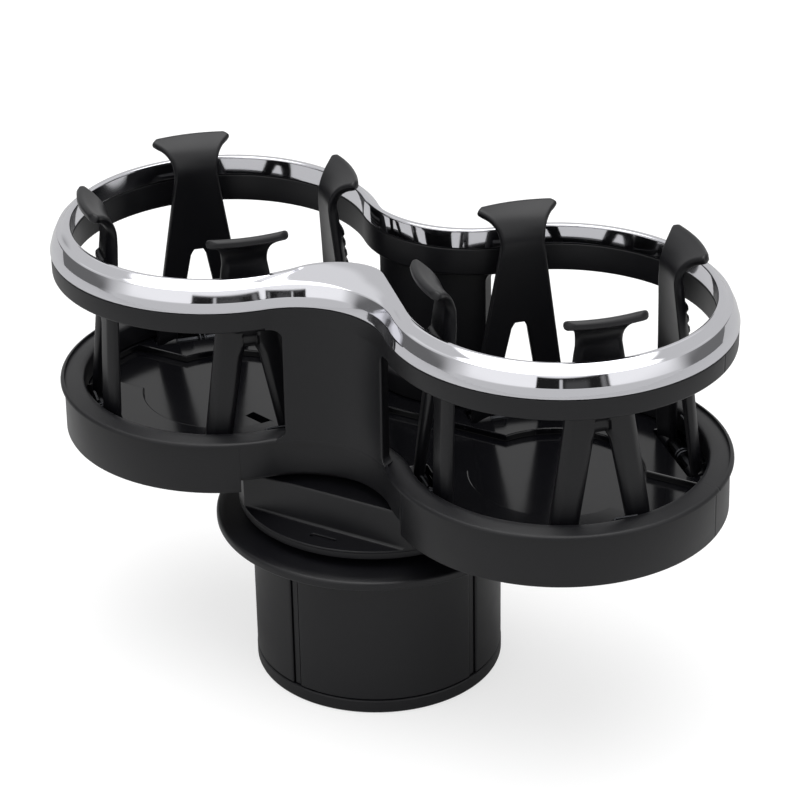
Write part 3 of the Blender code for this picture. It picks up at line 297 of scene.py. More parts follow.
def hoop_shell():
    """The hoop: a channel open below, with a rebate for the trim at its top outer edge."""
    web = HOOP_TOP - HOOP_WEB
    shelf = HOOP_TOP - REBATE_HEIGHT
    profile = quarter(OUTER, 0, HOOP_BOTTOM, HOOP_EASE, True)[::-1]
    profile += along(OUTER, [(0, shelf - 0.6, 0), (0, shelf, 0.3), (-REBATE_DEPTH, shelf, 0),
                             (-REBATE_DEPTH, HOOP_TOP, 0)])
    profile += along(OPENING, [(TRIM_SEAT, HOOP_TOP, 0), (0, HOOP_TOP, 0.4), (0, HOOP_BOTTOM, HOOP_EASE),
                               (HOOP_WALL, HOOP_BOTTOM, 0.5), (HOOP_WALL, web, 0)])
    profile += along(OUTER, [(-HOOP_WALL, web, 0), (-HOOP_WALL, HOOP_BOTTOM + 0.2, 0),
                             (-HOOP_WALL, HOOP_BOTTOM, 0)])
    return swept(profile, SEAM_DEPTH)


def skirt_inside(height):
    """How far inside the outer line the skirt's inner face lies at a height."""
    return SKIRT_WALL - LEDGE_FLARE + SKIRT_DRAFT * (LEDGE_TOP - height) / (LEDGE_TOP - SKIRT_BOTTOM)


def skirt_shell():
    """The skirt with its ledge and inner lip; its bottom edge steps up over the boss."""
    line = OUTER[0]
    bottom = np.where(np.abs(line[:, 0] - RING_MID_X) < NOTCH_HALF, NOTCH_TOP, SKIRT_BOTTOM)
    taper = (LEDGE_TOP - bottom) / (LEDGE_TOP - SKIRT_BOTTOM)
    flare = LEDGE_FLARE - SKIRT_DRAFT * taper
    lip = LEDGE_FLARE - LEDGE_WIDTH
    ledge_under = LEDGE_TOP - LEDGE_THICK
    profile = [(OUTER, flare - 0.6, bottom), (OUTER, flare - 0.18, bottom + 0.18),
               (OUTER, flare + 0.03, bottom + 0.6)]
    profile += quarter(OUTER, LEDGE_FLARE, LEDGE_TOP, LEDGE_EASE, False)
    profile += along(OUTER, [(lip + 3.0, LEDGE_TOP, 0), (lip, LEDGE_TOP, LIP_EASE), (lip, LIP_BOTTOM, 0.4),
                             (lip + LIP_WALL, LIP_BOTTOM, 0.4), (lip + LIP_WALL, ledge_under, 0.4),
                             (-skirt_inside(ledge_under), ledge_under, 0.4),
                             (-skirt_inside(LIP_BOTTOM), LIP_BOTTOM, 0)], 6)
    profile += [(OUTER, -skirt_inside(SKIRT_BOTTOM) - SKIRT_DRAFT * (taper - 1), bottom)]
    return swept(profile, SEAM_DEPTH)


def panel_shell(side):
    """A waist panel: at each height a bar that follows the waist, widened by quarter circles into the window
    corners above and below. Its ends run into the hoop and the skirt, a hair inside their faces."""
    half = PANEL_HALF[side]
    bend = (RING_OFFSET**2 + WAIST_HALF**2 - BAND_RADIUS**2) / (2 * (BAND_RADIUS - WAIST_HALF))
    touch = bend * RING_OFFSET / (bend + BAND_RADIUS)
    a = np.linspace(0, math.pi / 2, 12)
    foot, top = PANEL_FOOT * (1 - np.cos(a)), PANEL_CORNER * (1 - np.cos(a[::-1]))
    up = np.concatenate([[LEDGE_TOP - PANEL_RUN], LEDGE_TOP + foot, HOOP_BOTTOM - top,
                         [HOOP_BOTTOM + PANEL_RUN]])
    wide = np.concatenate([[half + PANEL_FOOT], half + PANEL_FOOT * (1 - np.sin(a)),
                           half + PANEL_CORNER * (1 - np.sin(a[::-1])), [half + PANEL_CORNER]])
    ease = np.interp(up, [LEDGE_TOP, LEDGE_TOP + PANEL_FOOT, HOOP_BOTTOM - PANEL_CORNER, HOOP_BOTTOM],
                     [0.2, 0.8, 0.8, 0.2])
    b = np.linspace(0, math.pi / 2, 7)[None]
    edge_x = wide[:, None] - ease[:, None] * (1 - np.cos(b))
    edge_in = ease[:, None] * (1 - np.sin(b))
    spread = np.linspace(1, -1, 60)[None, 1:-1]
    inner_x = (wide - ease)[:, None]
    flare = np.interp(up, [LEDGE_TOP - PANEL_RUN, LEDGE_TOP, HOOP_BOTTOM], [
        LEDGE_FLARE - SKIRT_DRAFT * PANEL_RUN / (LEDGE_TOP - SKIRT_BOTTOM), LEDGE_FLARE, 0])
    flare = flare[:, None] - PANEL_INSET
    across = np.concatenate([edge_x, inner_x * spread, -edge_x[:, ::-1]], 1)
    inset = np.concatenate([edge_in, 0 * spread * inner_x, edge_in[:, ::-1]], 1) - flare
    across = np.concatenate([across, across[:, ::-1]], 1)
    deep = PANEL_WALL - flare
    inset = np.concatenate([inset, np.broadcast_to(deep, inset.shape)], 1)
    d = np.abs(across)
    waist = WAIST_HALF - inset + bend + inset - np.sqrt(np.maximum((bend + inset) ** 2 - d**2, 0))
    rings = np.sqrt(np.maximum((BAND_RADIUS - inset) ** 2 - (RING_OFFSET - d) ** 2, 0))
    reach = np.where(d < touch, waist, rings)
    rows = np.stack([RING_MID_X + across, side * reach, np.broadcast_to(up[:, None], across.shape)], -1)
    return lofted(rows)


# Satin black: the grain spreads the studio into a soft grey sheen with no clear mirror image. Real grain of
# 0.1 mm would be too fine to show, so it is drawn at 0.55 mm.
SATIN_ABS = moulded_plastic("satin_black_abs", "#0b0b0f", 0.4, 0.55, 0.012)
piece("frame_moulding", [hoop_shell(), skirt_shell(), panel_shell(-1), panel_shell(1)], SATIN_ABS,
      "satin_black_abs", "holder", "main_frame")

# Chrome trim
# A moulded ABS ring, plated with copper, nickel and chrome, which snaps onto the hoop. Its top slopes up to
# the cups and its edge is steep. The moulding leaves very slow waves in the plating.

TRIM_TOP = 126.8
TRIM_CREASE = (-2.0, 124.9)
TRIM_BEVEL = (-0.6, 121.9)
TRIM_EDGE = (0.2, 119.1)
TRIM_BAND = 3.4
TRIM_NOSE = 0.7
TRIM_WALL = 1.4
TRIM_CLEAR = 0.3


def bright_chrome():
    """Chrome plating: a metal mirror, its roughness broken by a faint haze and its face by slow waves."""
    haze_mm, wave_mm, depth_mm = 16.7, 14.3, 0.008
    made = bpy.data.materials.new("chrome_plated_abs")
    made.use_nodes = True
    tree = made.node_tree
    shader = tree.nodes["Principled BSDF"]
    shader.inputs["Base Color"].default_value = linear("#e3e3e8")
    shader.inputs["Metallic"].default_value = 1.0
    where = add_node(tree, "ShaderNodeTexCoord").outputs["Object"]
    haze = add_node(tree, "ShaderNodeTexNoise", {"Vector": where, "Scale": 1000 / haze_mm, "Detail": 5.0})
    spread = add_node(tree, "ShaderNodeMapRange", {
        "Value": haze.outputs["Fac"], "From Min": 0.35, "From Max": 0.7, "To Min": 0.03, "To Max": 0.09})
    tree.links.new(spread.outputs["Result"], shader.inputs["Roughness"])
    waves = add_node(tree, "ShaderNodeTexNoise", {"Vector": where, "Scale": 1000 / wave_mm, "Detail": 1.0})
    bump = add_node(tree, "ShaderNodeBump", {"Height": waves.outputs["Fac"], "Distance": depth_mm * MM})
    tree.links.new(bump.outputs["Normal"], shader.inputs["Normal"])
    return made


def trim_shell():
    """The trim: outer edge, bevel and sloped top, a rounded inner edge, and the hollow beneath."""
    low, bottom = TRIM_EDGE[1], HOOP_TOP + TRIM_CLEAR
    inside = TRIM_CLEAR - REBATE_DEPTH + 0.1
    profile = along(OUTER, [(inside + 0.1, low, 0), (TRIM_EDGE[0], low, 0.3), (*TRIM_BEVEL, 0.25),
                            (*TRIM_CREASE, 0.25), (-TRIM_BAND, TRIM_CREASE[1] + 0.5, 0)])
    profile += along(OPENING, [(1.6, TRIM_TOP - 0.05, 0), (0, TRIM_TOP, TRIM_NOSE), (0, bottom, 0.2),
                               (TRIM_WALL, bottom, 0.2), (TRIM_WALL, TRIM_TOP - 2.0, 0)])
    profile += along(OUTER, [(-TRIM_BAND, TRIM_CREASE[1] - TRIM_WALL, 0),
                             (inside, TRIM_BEVEL[1] - TRIM_CLEAR, 0), (inside, low + 0.2, 0)])
    return swept(profile)


# Chrome plate: a mirror, in which the studio's pale and dark panels stand sharp and a little bent.
CHROME = bright_chrome()
piece("trim_ring", [trim_shell()], CHROME, "chrome_plated_abs", "holder", "chrome_trim", sharp=60)

# Floor tray
# The floor of both cups, moulded in gloss black ABS from a polished mould, so it mirrors the fingers softly.
# It is snapped in from below; its middle is sunk, and each finger stands in a pocket through it.

TRAY_TOP = 72.7
TRAY_BOTTOM = 68.6
RECESS_DEPTH = 2.0
RECESS_RADIUS = 24.0
RECESS_WING = 11.0
PIVOT_RADIUS = 36.2
FINGER_ANGLES = (45, 135, 225, 315)
POCKET = (-3.6, 4.2, 13.9)
POCKET_CORNER = 0.8
LATCH = (11.0, 3.0)
LATCH_PLACE = (17.2, -9.0)
LATCH_TURN = -0.27
TRAY_CLEAR = 0.3
COVER_SCREW_Y = 32.0


def plate(outlines, low, high, edge=0.3):
    """A flat plate with holes: its outlines filled as a 2D curve, given its thickness and eased edges."""
    curve = bpy.data.curves.new("plate", "CURVE")
    curve.dimensions = "2D"
    curve.fill_mode = "BOTH"
    curve.extrude = (high - low) / 2 - edge
    curve.bevel_depth = edge
    curve.bevel_resolution = 1
    curve.offset = -edge
    for outline in outlines:
        spline = curve.splines.new("POLY")
        spline.points.add(len(outline) - 1)
        flat = np.zeros((len(outline), 4))
        flat[:, :2] = outline
        flat[:, 3] = 1
        spline.points.foreach_set("co", flat.ravel())
        spline.use_cyclic_u = True
    holder = bpy.data.objects.new("plate", curve)
    bpy.context.scene.collection.objects.link(holder)
    mesh = bpy.data.meshes.new_from_object(holder.evaluated_get(bpy.context.evaluated_depsgraph_get()))
    bpy.data.objects.remove(holder)
    shape = bmesh.new()
    shape.from_mesh(mesh)
    bmesh.ops.remove_doubles(shape, verts=shape.verts, dist=0.002)
    bmesh.ops.triangulate(shape, faces=shape.faces)
    shape.to_mesh(mesh)
    shape.free()
    points = np.empty(len(mesh.vertices) * 3)
    mesh.vertices.foreach_get("co", points)
    corners = np.empty(len(mesh.loops), int)
    mesh.loops.foreach_get("vertex_index", corners)
    bpy.data.meshes.remove(mesh)
    return points.reshape(-1, 3) + [0, 0, (low + high) / 2], corners.reshape(-1, 3)


def arc(x, y, radius, start, end, steps):
    """Points of an arc, angles in radians, both ends included."""
    t = np.linspace(start, end, steps)
    return np.stack([x + radius * np.cos(t), y + radius * np.sin(t)], -1)


def ring_line(out, line=OUTER):
    """The plan line moved outwards by a distance, without the doubled points at the notch."""
    points = line[0] + line[1] * out
    gap = np.linalg.norm(points - np.roll(points, 1, 0), axis=1)
    return points[gap > 0.1]


def finger_places():
    """Each finger's name, the x of its ring's centre and the direction that it stands in."""
    return [(f"{side}_{n}", x, math.radians(a)) for side, x in RING_CENTRES.items()
            for n, a in enumerate(FINGER_ANGLES, 1)]


def placed(points, x, turn, radius=0.0, height=0.0):
    """Points from a frame that stands at a radius in one direction from a ring's centre."""
    u, t = points[..., 0] + radius, points[..., 1]
    made = np.array(points, float)
    made[..., 0] = x + u * math.cos(turn) - t * math.sin(turn)
    made[..., 1] = u * math.sin(turn) + t * math.cos(turn)
    if made.shape[-1] == 3:
        made[..., 2] += height
    return made


def pocket_outline(x, turn):
    """A rectangle with rounded corners, for the two legs of one finger."""
    low, high, half = POCKET
    r, pi = POCKET_CORNER, math.pi
    box = [arc(high - r, half - r, r, 0, pi / 2, 5), arc(low + r, half - r, r, pi / 2, pi, 5),
           arc(low + r, r - half, r, pi, 1.5 * pi, 5), arc(high - r, r - half, r, 1.5 * pi, 2 * pi, 5)]
    return placed(np.concatenate(box), x, turn, PIVOT_RADIUS)


def recess_outline():
    """The sunk floor: a disc under each cup, joined by wings that run out to the skirt."""
    reach = BAND_RADIUS - LEDGE_WIDTH - 0.1
    end, side = math.asin(RECESS_WING / reach), math.asin(RECESS_WING / RECESS_RADIUS)
    pi, right, left = math.pi, RING_CENTRES["right"], RING_CENTRES["left"]
    return np.concatenate([
        arc(right, 0, reach, -end, end, 12), arc(right, 0, RECESS_RADIUS, side, pi - side - 0.01, 60),
        arc(left, 0, RECESS_RADIUS, side, pi - side, 60), arc(left, 0, reach, pi - end, pi + end, 12),
        arc(left, 0, RECESS_RADIUS, pi + side, 2 * pi - side - 0.01, 60),
        arc(right, 0, RECESS_RADIUS, pi + side, 2 * pi - side, 60)])


# Gloss black: a dark mirror of the fingers and the windows, a little wavy, with a few specks of dust.
GLOSS_ABS = moulded_plastic("gloss_black_abs", "#09090c", 0.14, 2.5, 0.003, 0.03, 0.05)
pockets = [pocket_outline(x, turn) for _, x, turn in finger_places()]
latch = np.array(LATCH) * [[-1, -1], [1, -1], [1, 1], [-1, 1]] / 2
latch = placed(latch, RING_CENTRES["left"] + LATCH_PLACE[0], LATCH_TURN) + [0, LATCH_PLACE[1]]
tray_edge = ring_line(-skirt_inside(TRAY_BOTTOM) - TRAY_CLEAR)
floor_level = TRAY_TOP - RECESS_DEPTH
piece("cup_floor", [plate([tray_edge, recess_outline()] + pockets, floor_level - 0.02, TRAY_TOP, 0.35),
                    plate([tray_edge, latch] + pockets, TRAY_BOTTOM, floor_level, 0.1)],
      GLOSS_ABS, "gloss_black_abs", "holder", "floor_tray", sharp=12)

# Sprung fingers
# Eight straps moulded in black nylon, each on a steel pin and held inwards by a torsion spring.
# A strap is bowed to follow the cup. Its head turns outwards over the rim, its outer face has a toothed rib.

PIVOT_HEIGHT = 70.8
FINGER_THICK = 3.0
FINGER_ROOT_OUT = 1.2
FINGER_LEAN = 0.107
FINGER_CURVE = 40.0
LEG_HALF = 13.6
LEG_TAPER_START = 7.0
NECK_HEIGHT = 55.2
NECK_HALF = 6.2
HEAD_HALF = 11.7
HEAD_BEND = 8.0
HEAD_TURN = math.radians(70)
HEAD_FLAT = 1.6
HEAD_CORNER = 3.0
LEG_EDGE = 0.7
HEAD_EDGE = 1.1
HEAD_THINNER = 0.25
LEG_BEVEL = 0.8
SLOT_APEX = 31.2
SLOT_APEX_HALF = 1.9
SLOT_SPREAD = 0.186
TOOTH_START = 36.0
TOOTH_PITCH = 3.2
TOOTH_COUNT = 4
TOOTH_HEIGHT = 1.0
TOOTH_HALF = 4.5
WEB_START = 30.0
WEB_DEPTH = 1.2
WEB_HALF = 2.0
HUB_RADIUS = 2.4
PIN_RADIUS = 1.2
PIN_CLEAR = 0.3


def strap_line(s):
    """Centre line of the strap by its length s: straight and leaning inwards by a, then an arc of radius R
    outwards, u = -s sin a + R (cos a - cos(a - turn)), then a short flat. Gives the distance out from the
    pin, the height above it, and the direction across the thickness."""
    lean = math.atan(FINGER_LEAN)
    straight = NECK_HEIGHT / math.cos(lean)
    turn = np.clip((s - straight) / HEAD_BEND, 0, HEAD_TURN)
    rise = np.minimum(s, straight)
    over = np.maximum(s - straight - HEAD_BEND * HEAD_TURN, 0)
    heading = math.pi / 2 + lean - turn
    u = (FINGER_ROOT_OUT - rise * math.sin(lean) + HEAD_BEND * (math.cos(lean) - np.cos(lean - turn))
         + over * np.cos(heading))
    w = (rise * math.cos(lean) + HEAD_BEND * (math.sin(lean) - np.sin(lean - turn))
         + over * np.sin(heading))
    return u, w, heading


def strap_half(s, w, length):
    """Half-width of the strap: constant at the legs, tapering to the neck, flared over the head by the power
    2.3 of the share of its length, and rounded at the tip by a circle."""
    taper = np.clip((w - LEG_TAPER_START) / (NECK_HEIGHT - LEG_TAPER_START), 0, 1)
    legs = LEG_HALF + (NECK_HALF - LEG_HALF) * taper
    start = NECK_HEIGHT / math.cos(math.atan(FINGER_LEAN))
    share = np.clip((s - start) / (length - 1.5 - start), 0, 1)
    half = legs + (HEAD_HALF - NECK_HALF) * share**2.3
    r = HEAD_CORNER
    short = np.clip(r - (length - s), 0, r)
    return half - r + np.sqrt(r * r - short**2)


def tooth_rise(w):
    """Height of the toothed rib: a ramp, a flat and a drop in each pitch."""
    place = (w - TOOTH_START) / TOOTH_PITCH
    share = place - np.floor(place)
    rise = np.interp(share, [0, 0.32, 0.72, 0.98], [0, 1, 1, 0])
    return TOOTH_HEIGHT * np.where((place > 0) & (place < TOOTH_COUNT), rise, 0)


def strap_shell():
    """The strap as two layers of a grid, one each side of its centre line. Columns follow the outer edges and
    the sides of the gap between the legs. The layers close in by r - sqrt(r^2 - (r - d)^2) at a distance d
    from an edge, so that every edge is rounded. The bow in plan is t^2 / (2 R). Outside, the rib carries
    teeth, and between them and the gap a narrow web is set back."""
    lean = math.atan(FINGER_LEAN)
    straight = NECK_HEIGHT / math.cos(lean)
    length = straight + HEAD_BEND * HEAD_TURN + HEAD_FLAT + FINGER_THICK / 2
    apex = SLOT_APEX / math.cos(lean)
    near = np.array([0, 0.08, 0.25, 0.5, 0.8, 1.2])
    s = np.unique(np.concatenate([
        near, np.linspace(1.2, apex, 18), apex + near, np.linspace(apex + 1.2, TOOTH_START, 6),
        np.linspace(TOOTH_START, 50.0, 57), np.linspace(50.0, straight, 6),
        np.linspace(straight, length - HEAD_CORNER, 20),
        length - HEAD_CORNER * np.cos(np.linspace(0, math.pi / 2, 14))]).round(5))[:, None]
    u, w, heading = strap_line(s)
    half = strap_half(s, w, length)
    slot = SLOT_APEX_HALF + SLOT_SPREAD * np.maximum(SLOT_APEX - w, 0)
    slot = slot - 0.6 * np.clip(1 - (apex - s) / 0.8, 0, 1) * (s <= apex) - 0.6 * (s > apex)
    leg = np.concatenate([near, np.linspace(1.2, 3.2, 7)[1:]])
    ratio = leg / (leg[-1] * 2)
    frac = np.concatenate([ratio, 1 - ratio[::-1][1:]])[None]
    left = -half + (half - slot) * frac
    middle = slot * np.linspace(-1, 1, 9)[None, 1:-1]
    t = np.concatenate([left, middle, -left[:, ::-1]], 1)
    legs = left.shape[1]
    centre = np.zeros(t.shape, bool)
    centre[:, legs:-legs] = True
    beside = np.abs(t)
    past_apex = np.hypot(s - apex, np.maximum(beside - slot, 0))
    to_slot = np.where(s < apex - 1e-6, beside - slot, past_apex)
    distance = np.minimum(np.minimum(half - beside, to_slot), np.minimum(length - s, s + 0.4))
    head = np.clip((s - straight + 2) / 6, 0, 1)
    r = LEG_EDGE + (HEAD_EDGE - LEG_EDGE) * head
    short = np.clip(r - distance, 0, r)
    thick = FINGER_THICK / 2 - HEAD_THINNER * head - r + np.sqrt(r * r - short**2)
    bevel = LEG_BEVEL * (1 - head) * np.clip((1.7 - distance) / 1.4, 0, 1)
    rib = tooth_rise(w) * np.clip((TOOTH_HALF + 0.3 - beside) / 0.6, 0, 1) - bevel
    web = np.clip((WEB_HALF + 0.3 - beside) / 0.3, 0, 1) * np.clip((w - WEB_START) / 0.2, 0, 1)
    rib = rib - WEB_DEPTH * web * np.clip(TOOTH_START - 0.4 - w, 0, 1)
    layers = []
    for sign, extra in ((1, rib), (-1, 0)):
        n = sign * thick + extra
        out = u + n * np.sin(heading) - t * t / (2 * FINGER_CURVE)
        layers.append(np.stack([out, t, w - n * np.cos(heading)], -1))
    rows, columns = t.shape
    index = np.arange(rows * columns).reshape(rows, columns)
    quads = np.stack([index[:-1, :-1], index[:-1, 1:], index[1:, 1:], index[1:, :-1]], -1)
    between = (np.arange(columns - 1) >= legs - 1) & (np.arange(columns - 1) < columns - legs)
    front = quads[~((s[:-1, 0] < apex - 1e-6)[:, None] & between[None])]
    edges = np.concatenate([front[:, [k, (k + 1) % 4]] for k in range(4)])
    _, first, counts = np.unique(np.sort(edges, 1), axis=0, return_index=True, return_counts=True)
    rim = edges[first[counts == 1]]
    total = rows * columns
    walls = np.stack([rim[:, 1], rim[:, 0], rim[:, 0] + total, rim[:, 1] + total], -1)
    faces = np.concatenate([front, front[:, ::-1] + total, walls])
    used, renumbered = np.unique(faces, return_inverse=True)
    return np.concatenate([layer.reshape(-1, 3) for layer in layers])[used], renumbered.reshape(-1, 4)


def barrel(radius, bore, low, high, steps=40):
    """A bush along the pin: a tube with eased ends, (r cos a, y, r sin a) for a profile of r and y."""
    profile = eased([(bore, low, 0), (radius, low, 0.4), (radius, high, 0.4), (bore, high, 0)])
    turn = np.linspace(0, 2 * math.pi, steps, endpoint=False)[:, None]
    along_pin = np.broadcast_to(profile[:, 1], (steps, len(profile)))
    rows = np.stack([profile[:, 0] * np.cos(turn), along_pin, profile[:, 0] * np.sin(turn)], -1)
    return lofted(rows, closed=True)


# Satin nylon: slightly smoother than the frame, so the turned heads catch a soft light. Its fine grain is
# drawn coarser too.
NYLON = moulded_plastic("satin_black_nylon", "#0b0b0f", 0.37, 0.5, 0.01)
foot_gap = SLOT_APEX_HALF + SLOT_SPREAD * SLOT_APEX
bore = PIN_RADIUS + PIN_CLEAR
finger_shells = [strap_shell(), barrel(HUB_RADIUS, bore, foot_gap, LEG_HALF),
                 barrel(HUB_RADIUS, bore, -LEG_HALF, -foot_gap)]
for name, x, turn in finger_places():
    shells = [(placed(points, x, turn, PIVOT_RADIUS, PIVOT_HEIGHT), faces) for points, faces in finger_shells]
    piece(f"strap_{name}", shells, NYLON, "satin_black_nylon", f"finger_{name}", f"finger_{name}", sharp=55)

# Pins and springs
# Ground steel pins, and springs wound from dark drawn steel wire: a coil on the pin between the legs, a foot
# against the pocket and an arm hooked behind one leg.

WIRE_RADIUS = 0.4
COIL_RADIUS = 2.15
COIL_TURNS = 2
COIL_PITCH = 1.4
SPRING_ARM = 8.0
SPRING_HOOK = 8.6
SPRING_CLEAR = 0.3
SPRING_FOOT = 3.5


def drawn_steel(name, colour, roughness, line_mm):
    """A steel with fine lines, worked as a stretched noise in the roughness and the relief. Real lines of
    about 0.05 mm would be too fine to show, so they are drawn coarser."""
    relief_mm = 0.004
    made = bpy.data.materials.new(name)
    made.use_nodes = True
    tree = made.node_tree
    shader = tree.nodes["Principled BSDF"]
    shader.inputs["Base Color"].default_value = linear(colour)
    shader.inputs["Metallic"].default_value = 1.0
    where = add_node(tree, "ShaderNodeTexCoord").outputs["Object"]
    lines = add_node(tree, "ShaderNodeMapping", {"Vector": where, "Scale": (1.0, 1.0, 6.0)})
    noise = add_node(tree, "ShaderNodeTexNoise", {
        "Vector": lines.outputs["Vector"], "Scale": 1000 / line_mm, "Detail": 3.0})
    spread = add_node(tree, "ShaderNodeMapRange", {
        "Value": noise.outputs["Fac"], "To Min": roughness * 0.7, "To Max": roughness * 1.4})
    tree.links.new(spread.outputs["Result"], shader.inputs["Roughness"])
    bump = add_node(tree, "ShaderNodeBump", {"Height": noise.outputs["Fac"], "Distance": relief_mm * MM})
    tree.links.new(bump.outputs["Normal"], shader.inputs["Normal"])
    return made


def tube(path, radius, sides=10):
    """A round wire along a path: circles p + radius (side cos a + over sin a), where side and over stand
    square to the path, with capped ends."""
    ahead = np.gradient(path, axis=0)
    ahead /= np.linalg.norm(ahead, axis=1, keepdims=True)
    side = np.cross(ahead, [0.3, 1.0, 0.2])
    side /= np.linalg.norm(side, axis=1, keepdims=True)
    over = np.cross(ahead, side)
    turn = np.linspace(0, 2 * math.pi, sides, endpoint=False)[None, :, None]
    circle = side[:, None] * np.cos(turn) + over[:, None] * np.sin(turn)
    return lofted(path[:, None] + radius * circle)


def spring_shell():
    """The spring's wire: a foot, then two turns of the helix (-R sin a, pitch a / 2 pi, -R cos a) about the
    pin, then the arm and its hook."""
    start = -COIL_TURNS * COIL_PITCH / 2
    turn = np.linspace(0, 2 * math.pi * COIL_TURNS + math.pi / 2, 72)
    coil = np.stack([COIL_RADIUS * np.sin(-turn), start + COIL_PITCH * turn / (2 * math.pi),
                     -COIL_RADIUS * np.cos(turn)], -1)
    face = FINGER_THICK / 2 + WIRE_RADIUS + SPRING_CLEAR
    out = max(FINGER_ROOT_OUT - FINGER_LEAN * SPRING_ARM + face, COIL_RADIUS)
    side = coil[-1, 1] + SPRING_CLEAR
    coil[:, 0] = np.where(turn > turn[-1] - math.pi / 2, np.abs(coil[:, 0]), coil[:, 0])
    foot = np.linspace([SPRING_FOOT, start, -COIL_RADIUS], [0.3, start, -COIL_RADIUS], 4)
    arm = np.linspace([COIL_RADIUS, side, 0.3], [out, side, SPRING_ARM - 0.9], 6)
    bend = np.array([[out, side + 0.25, SPRING_ARM - 0.25]])
    hook = np.linspace([out, side + 0.9, SPRING_ARM], [out, SPRING_HOOK, SPRING_ARM], 6)
    return tube(np.concatenate([foot, coil, arm, bend, hook]), WIRE_RADIUS)


# Spring steel: oiled and dark, so only its edges glint between the legs.
SPRING_STEEL = drawn_steel("spring_steel", "#3d3e41", 0.36, 0.5)
spring_points, spring_faces = spring_shell()
for name, x, turn in finger_places():
    piece(f"coil_{name}", [(placed(spring_points, x, turn, PIVOT_RADIUS, PIVOT_HEIGHT), spring_faces)],
          SPRING_STEEL, "spring_steel", "holder", f"spring_{name}")
    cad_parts[f"pin_{name}"].data.materials.clear()
    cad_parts[f"pin_{name}"].data.materials.append(SPRING_STEEL)

# Bottom cover
# A plate in satin black ABS under the tray, with a rim that meets it. It closes the holder from below and
# keeps the pins in their saddles, and four screws hold it to the tray.

COVER_BOTTOM = 65.9
COVER_TOP = 67.5
COVER_GAP = 1.2
COVER_RIM = 2.4
COVER_CLEAR = 0.3
SCREW_HOLE = 1.3
BOSS_POST_CIRCLE = 25.0

cover_screws = [(x, y) for x in RING_CENTRES.values() for y in (-COVER_SCREW_Y, COVER_SCREW_Y)]
boss_screws = [BOSS_POST_CIRCLE * np.array([math.cos(a), math.sin(a)]) for a in np.radians(FINGER_ANGLES)]
screw_holes = [arc(x, y, SCREW_HOLE, 0, 2 * math.pi, 25)[:-1] for x, y in cover_screws + boss_screws]
inset = skirt_inside(COVER_BOTTOM) + COVER_GAP
piece("under_cover", [plate([ring_line(-inset)] + screw_holes, COVER_BOTTOM, COVER_TOP, 0.25),
                      plate([ring_line(-inset - 0.2), ring_line(-inset - COVER_RIM)],
                            COVER_TOP - 0.02, TRAY_BOTTOM - COVER_CLEAR, 0.1)],
      SATIN_ABS, "satin_black_abs", "holder", "bottom_cover", sharp=12)

# Swivel boss
# A D-shaped puck on a thin disc in satin black ABS, screwed under the cover. It turns on the base's post.
# The disc has a small slit at the front.

BOSS_RADIUS = 38.6
BOSS_TOP = 65.6
BOSS_BOTTOM = 52.0
BOSS_DISC_TOP = 54.5
BOSS_FLAT = 29.0
BOSS_FILLET = 0.9
BOSS_EASE = 0.7
SLIT_DEPTH = 0.6
SLIT_PLACE = (2.7, -33.8)
SLIT_HALF = 3.0
SLIT_RADIUS = 1.0


def stacked(profile, steps=180):
    """A turned solid: the circle (r cos a, r sin a, z) for each radius and height of the profile, capped at
    both ends."""
    turn = np.linspace(0, 2 * math.pi, steps, endpoint=False)[None]
    r, z = np.asarray(profile, float).T[:, :, None]
    return lofted(np.stack([r * np.cos(turn), r * np.sin(turn), z + 0 * turn], -1))


def turned(profile, steps=180):
    """A turned ring: a closed profile of radius and height, carried round the axis: (r cos a, r sin a, z)."""
    turn = np.linspace(0, 2 * math.pi, steps, endpoint=False)[:, None]
    r, z = np.asarray(profile, float).T[:, None]
    return lofted(np.stack([r * np.cos(turn), r * np.sin(turn), z + 0 * turn], -1), closed=True)


def boss_block():
    """The D: at each height an arc closed by a flat. The flat swells into a quarter round at its foot, and
    arc and flat draw in by ease (1 - cos a) at the top."""
    a = np.linspace(0, math.pi / 2, 9)
    flat = np.concatenate([[BOSS_FLAT + BOSS_FILLET], BOSS_FLAT + BOSS_FILLET * (1 - np.sin(a)),
                           BOSS_FLAT - BOSS_EASE * (1 - np.cos(a))])
    radius = np.concatenate([np.full(10, BOSS_RADIUS), BOSS_RADIUS - BOSS_EASE * (1 - np.cos(a))])
    z = np.concatenate([[BOSS_DISC_TOP - 0.1], BOSS_DISC_TOP + BOSS_FILLET * (1 - np.cos(a)),
                        BOSS_TOP - BOSS_EASE * (1 - np.sin(a))])
    edge = np.arcsin(flat / radius)[:, None]
    turn = -edge + (math.pi + 2 * edge) * np.linspace(0, 1, 160)[None]
    round_x, round_y = radius[:, None] * np.cos(turn), radius[:, None] * np.sin(turn)
    flat_x = (radius[:, None] * np.cos(edge)) * np.linspace(-1, 1, 42)[None, 1:-1]
    x = np.concatenate([round_x, flat_x], 1)
    y = np.concatenate([round_y, np.broadcast_to(-flat[:, None], flat_x.shape)], 1)
    return lofted(np.stack([x, y, np.broadcast_to(z[:, None], x.shape)], -1))


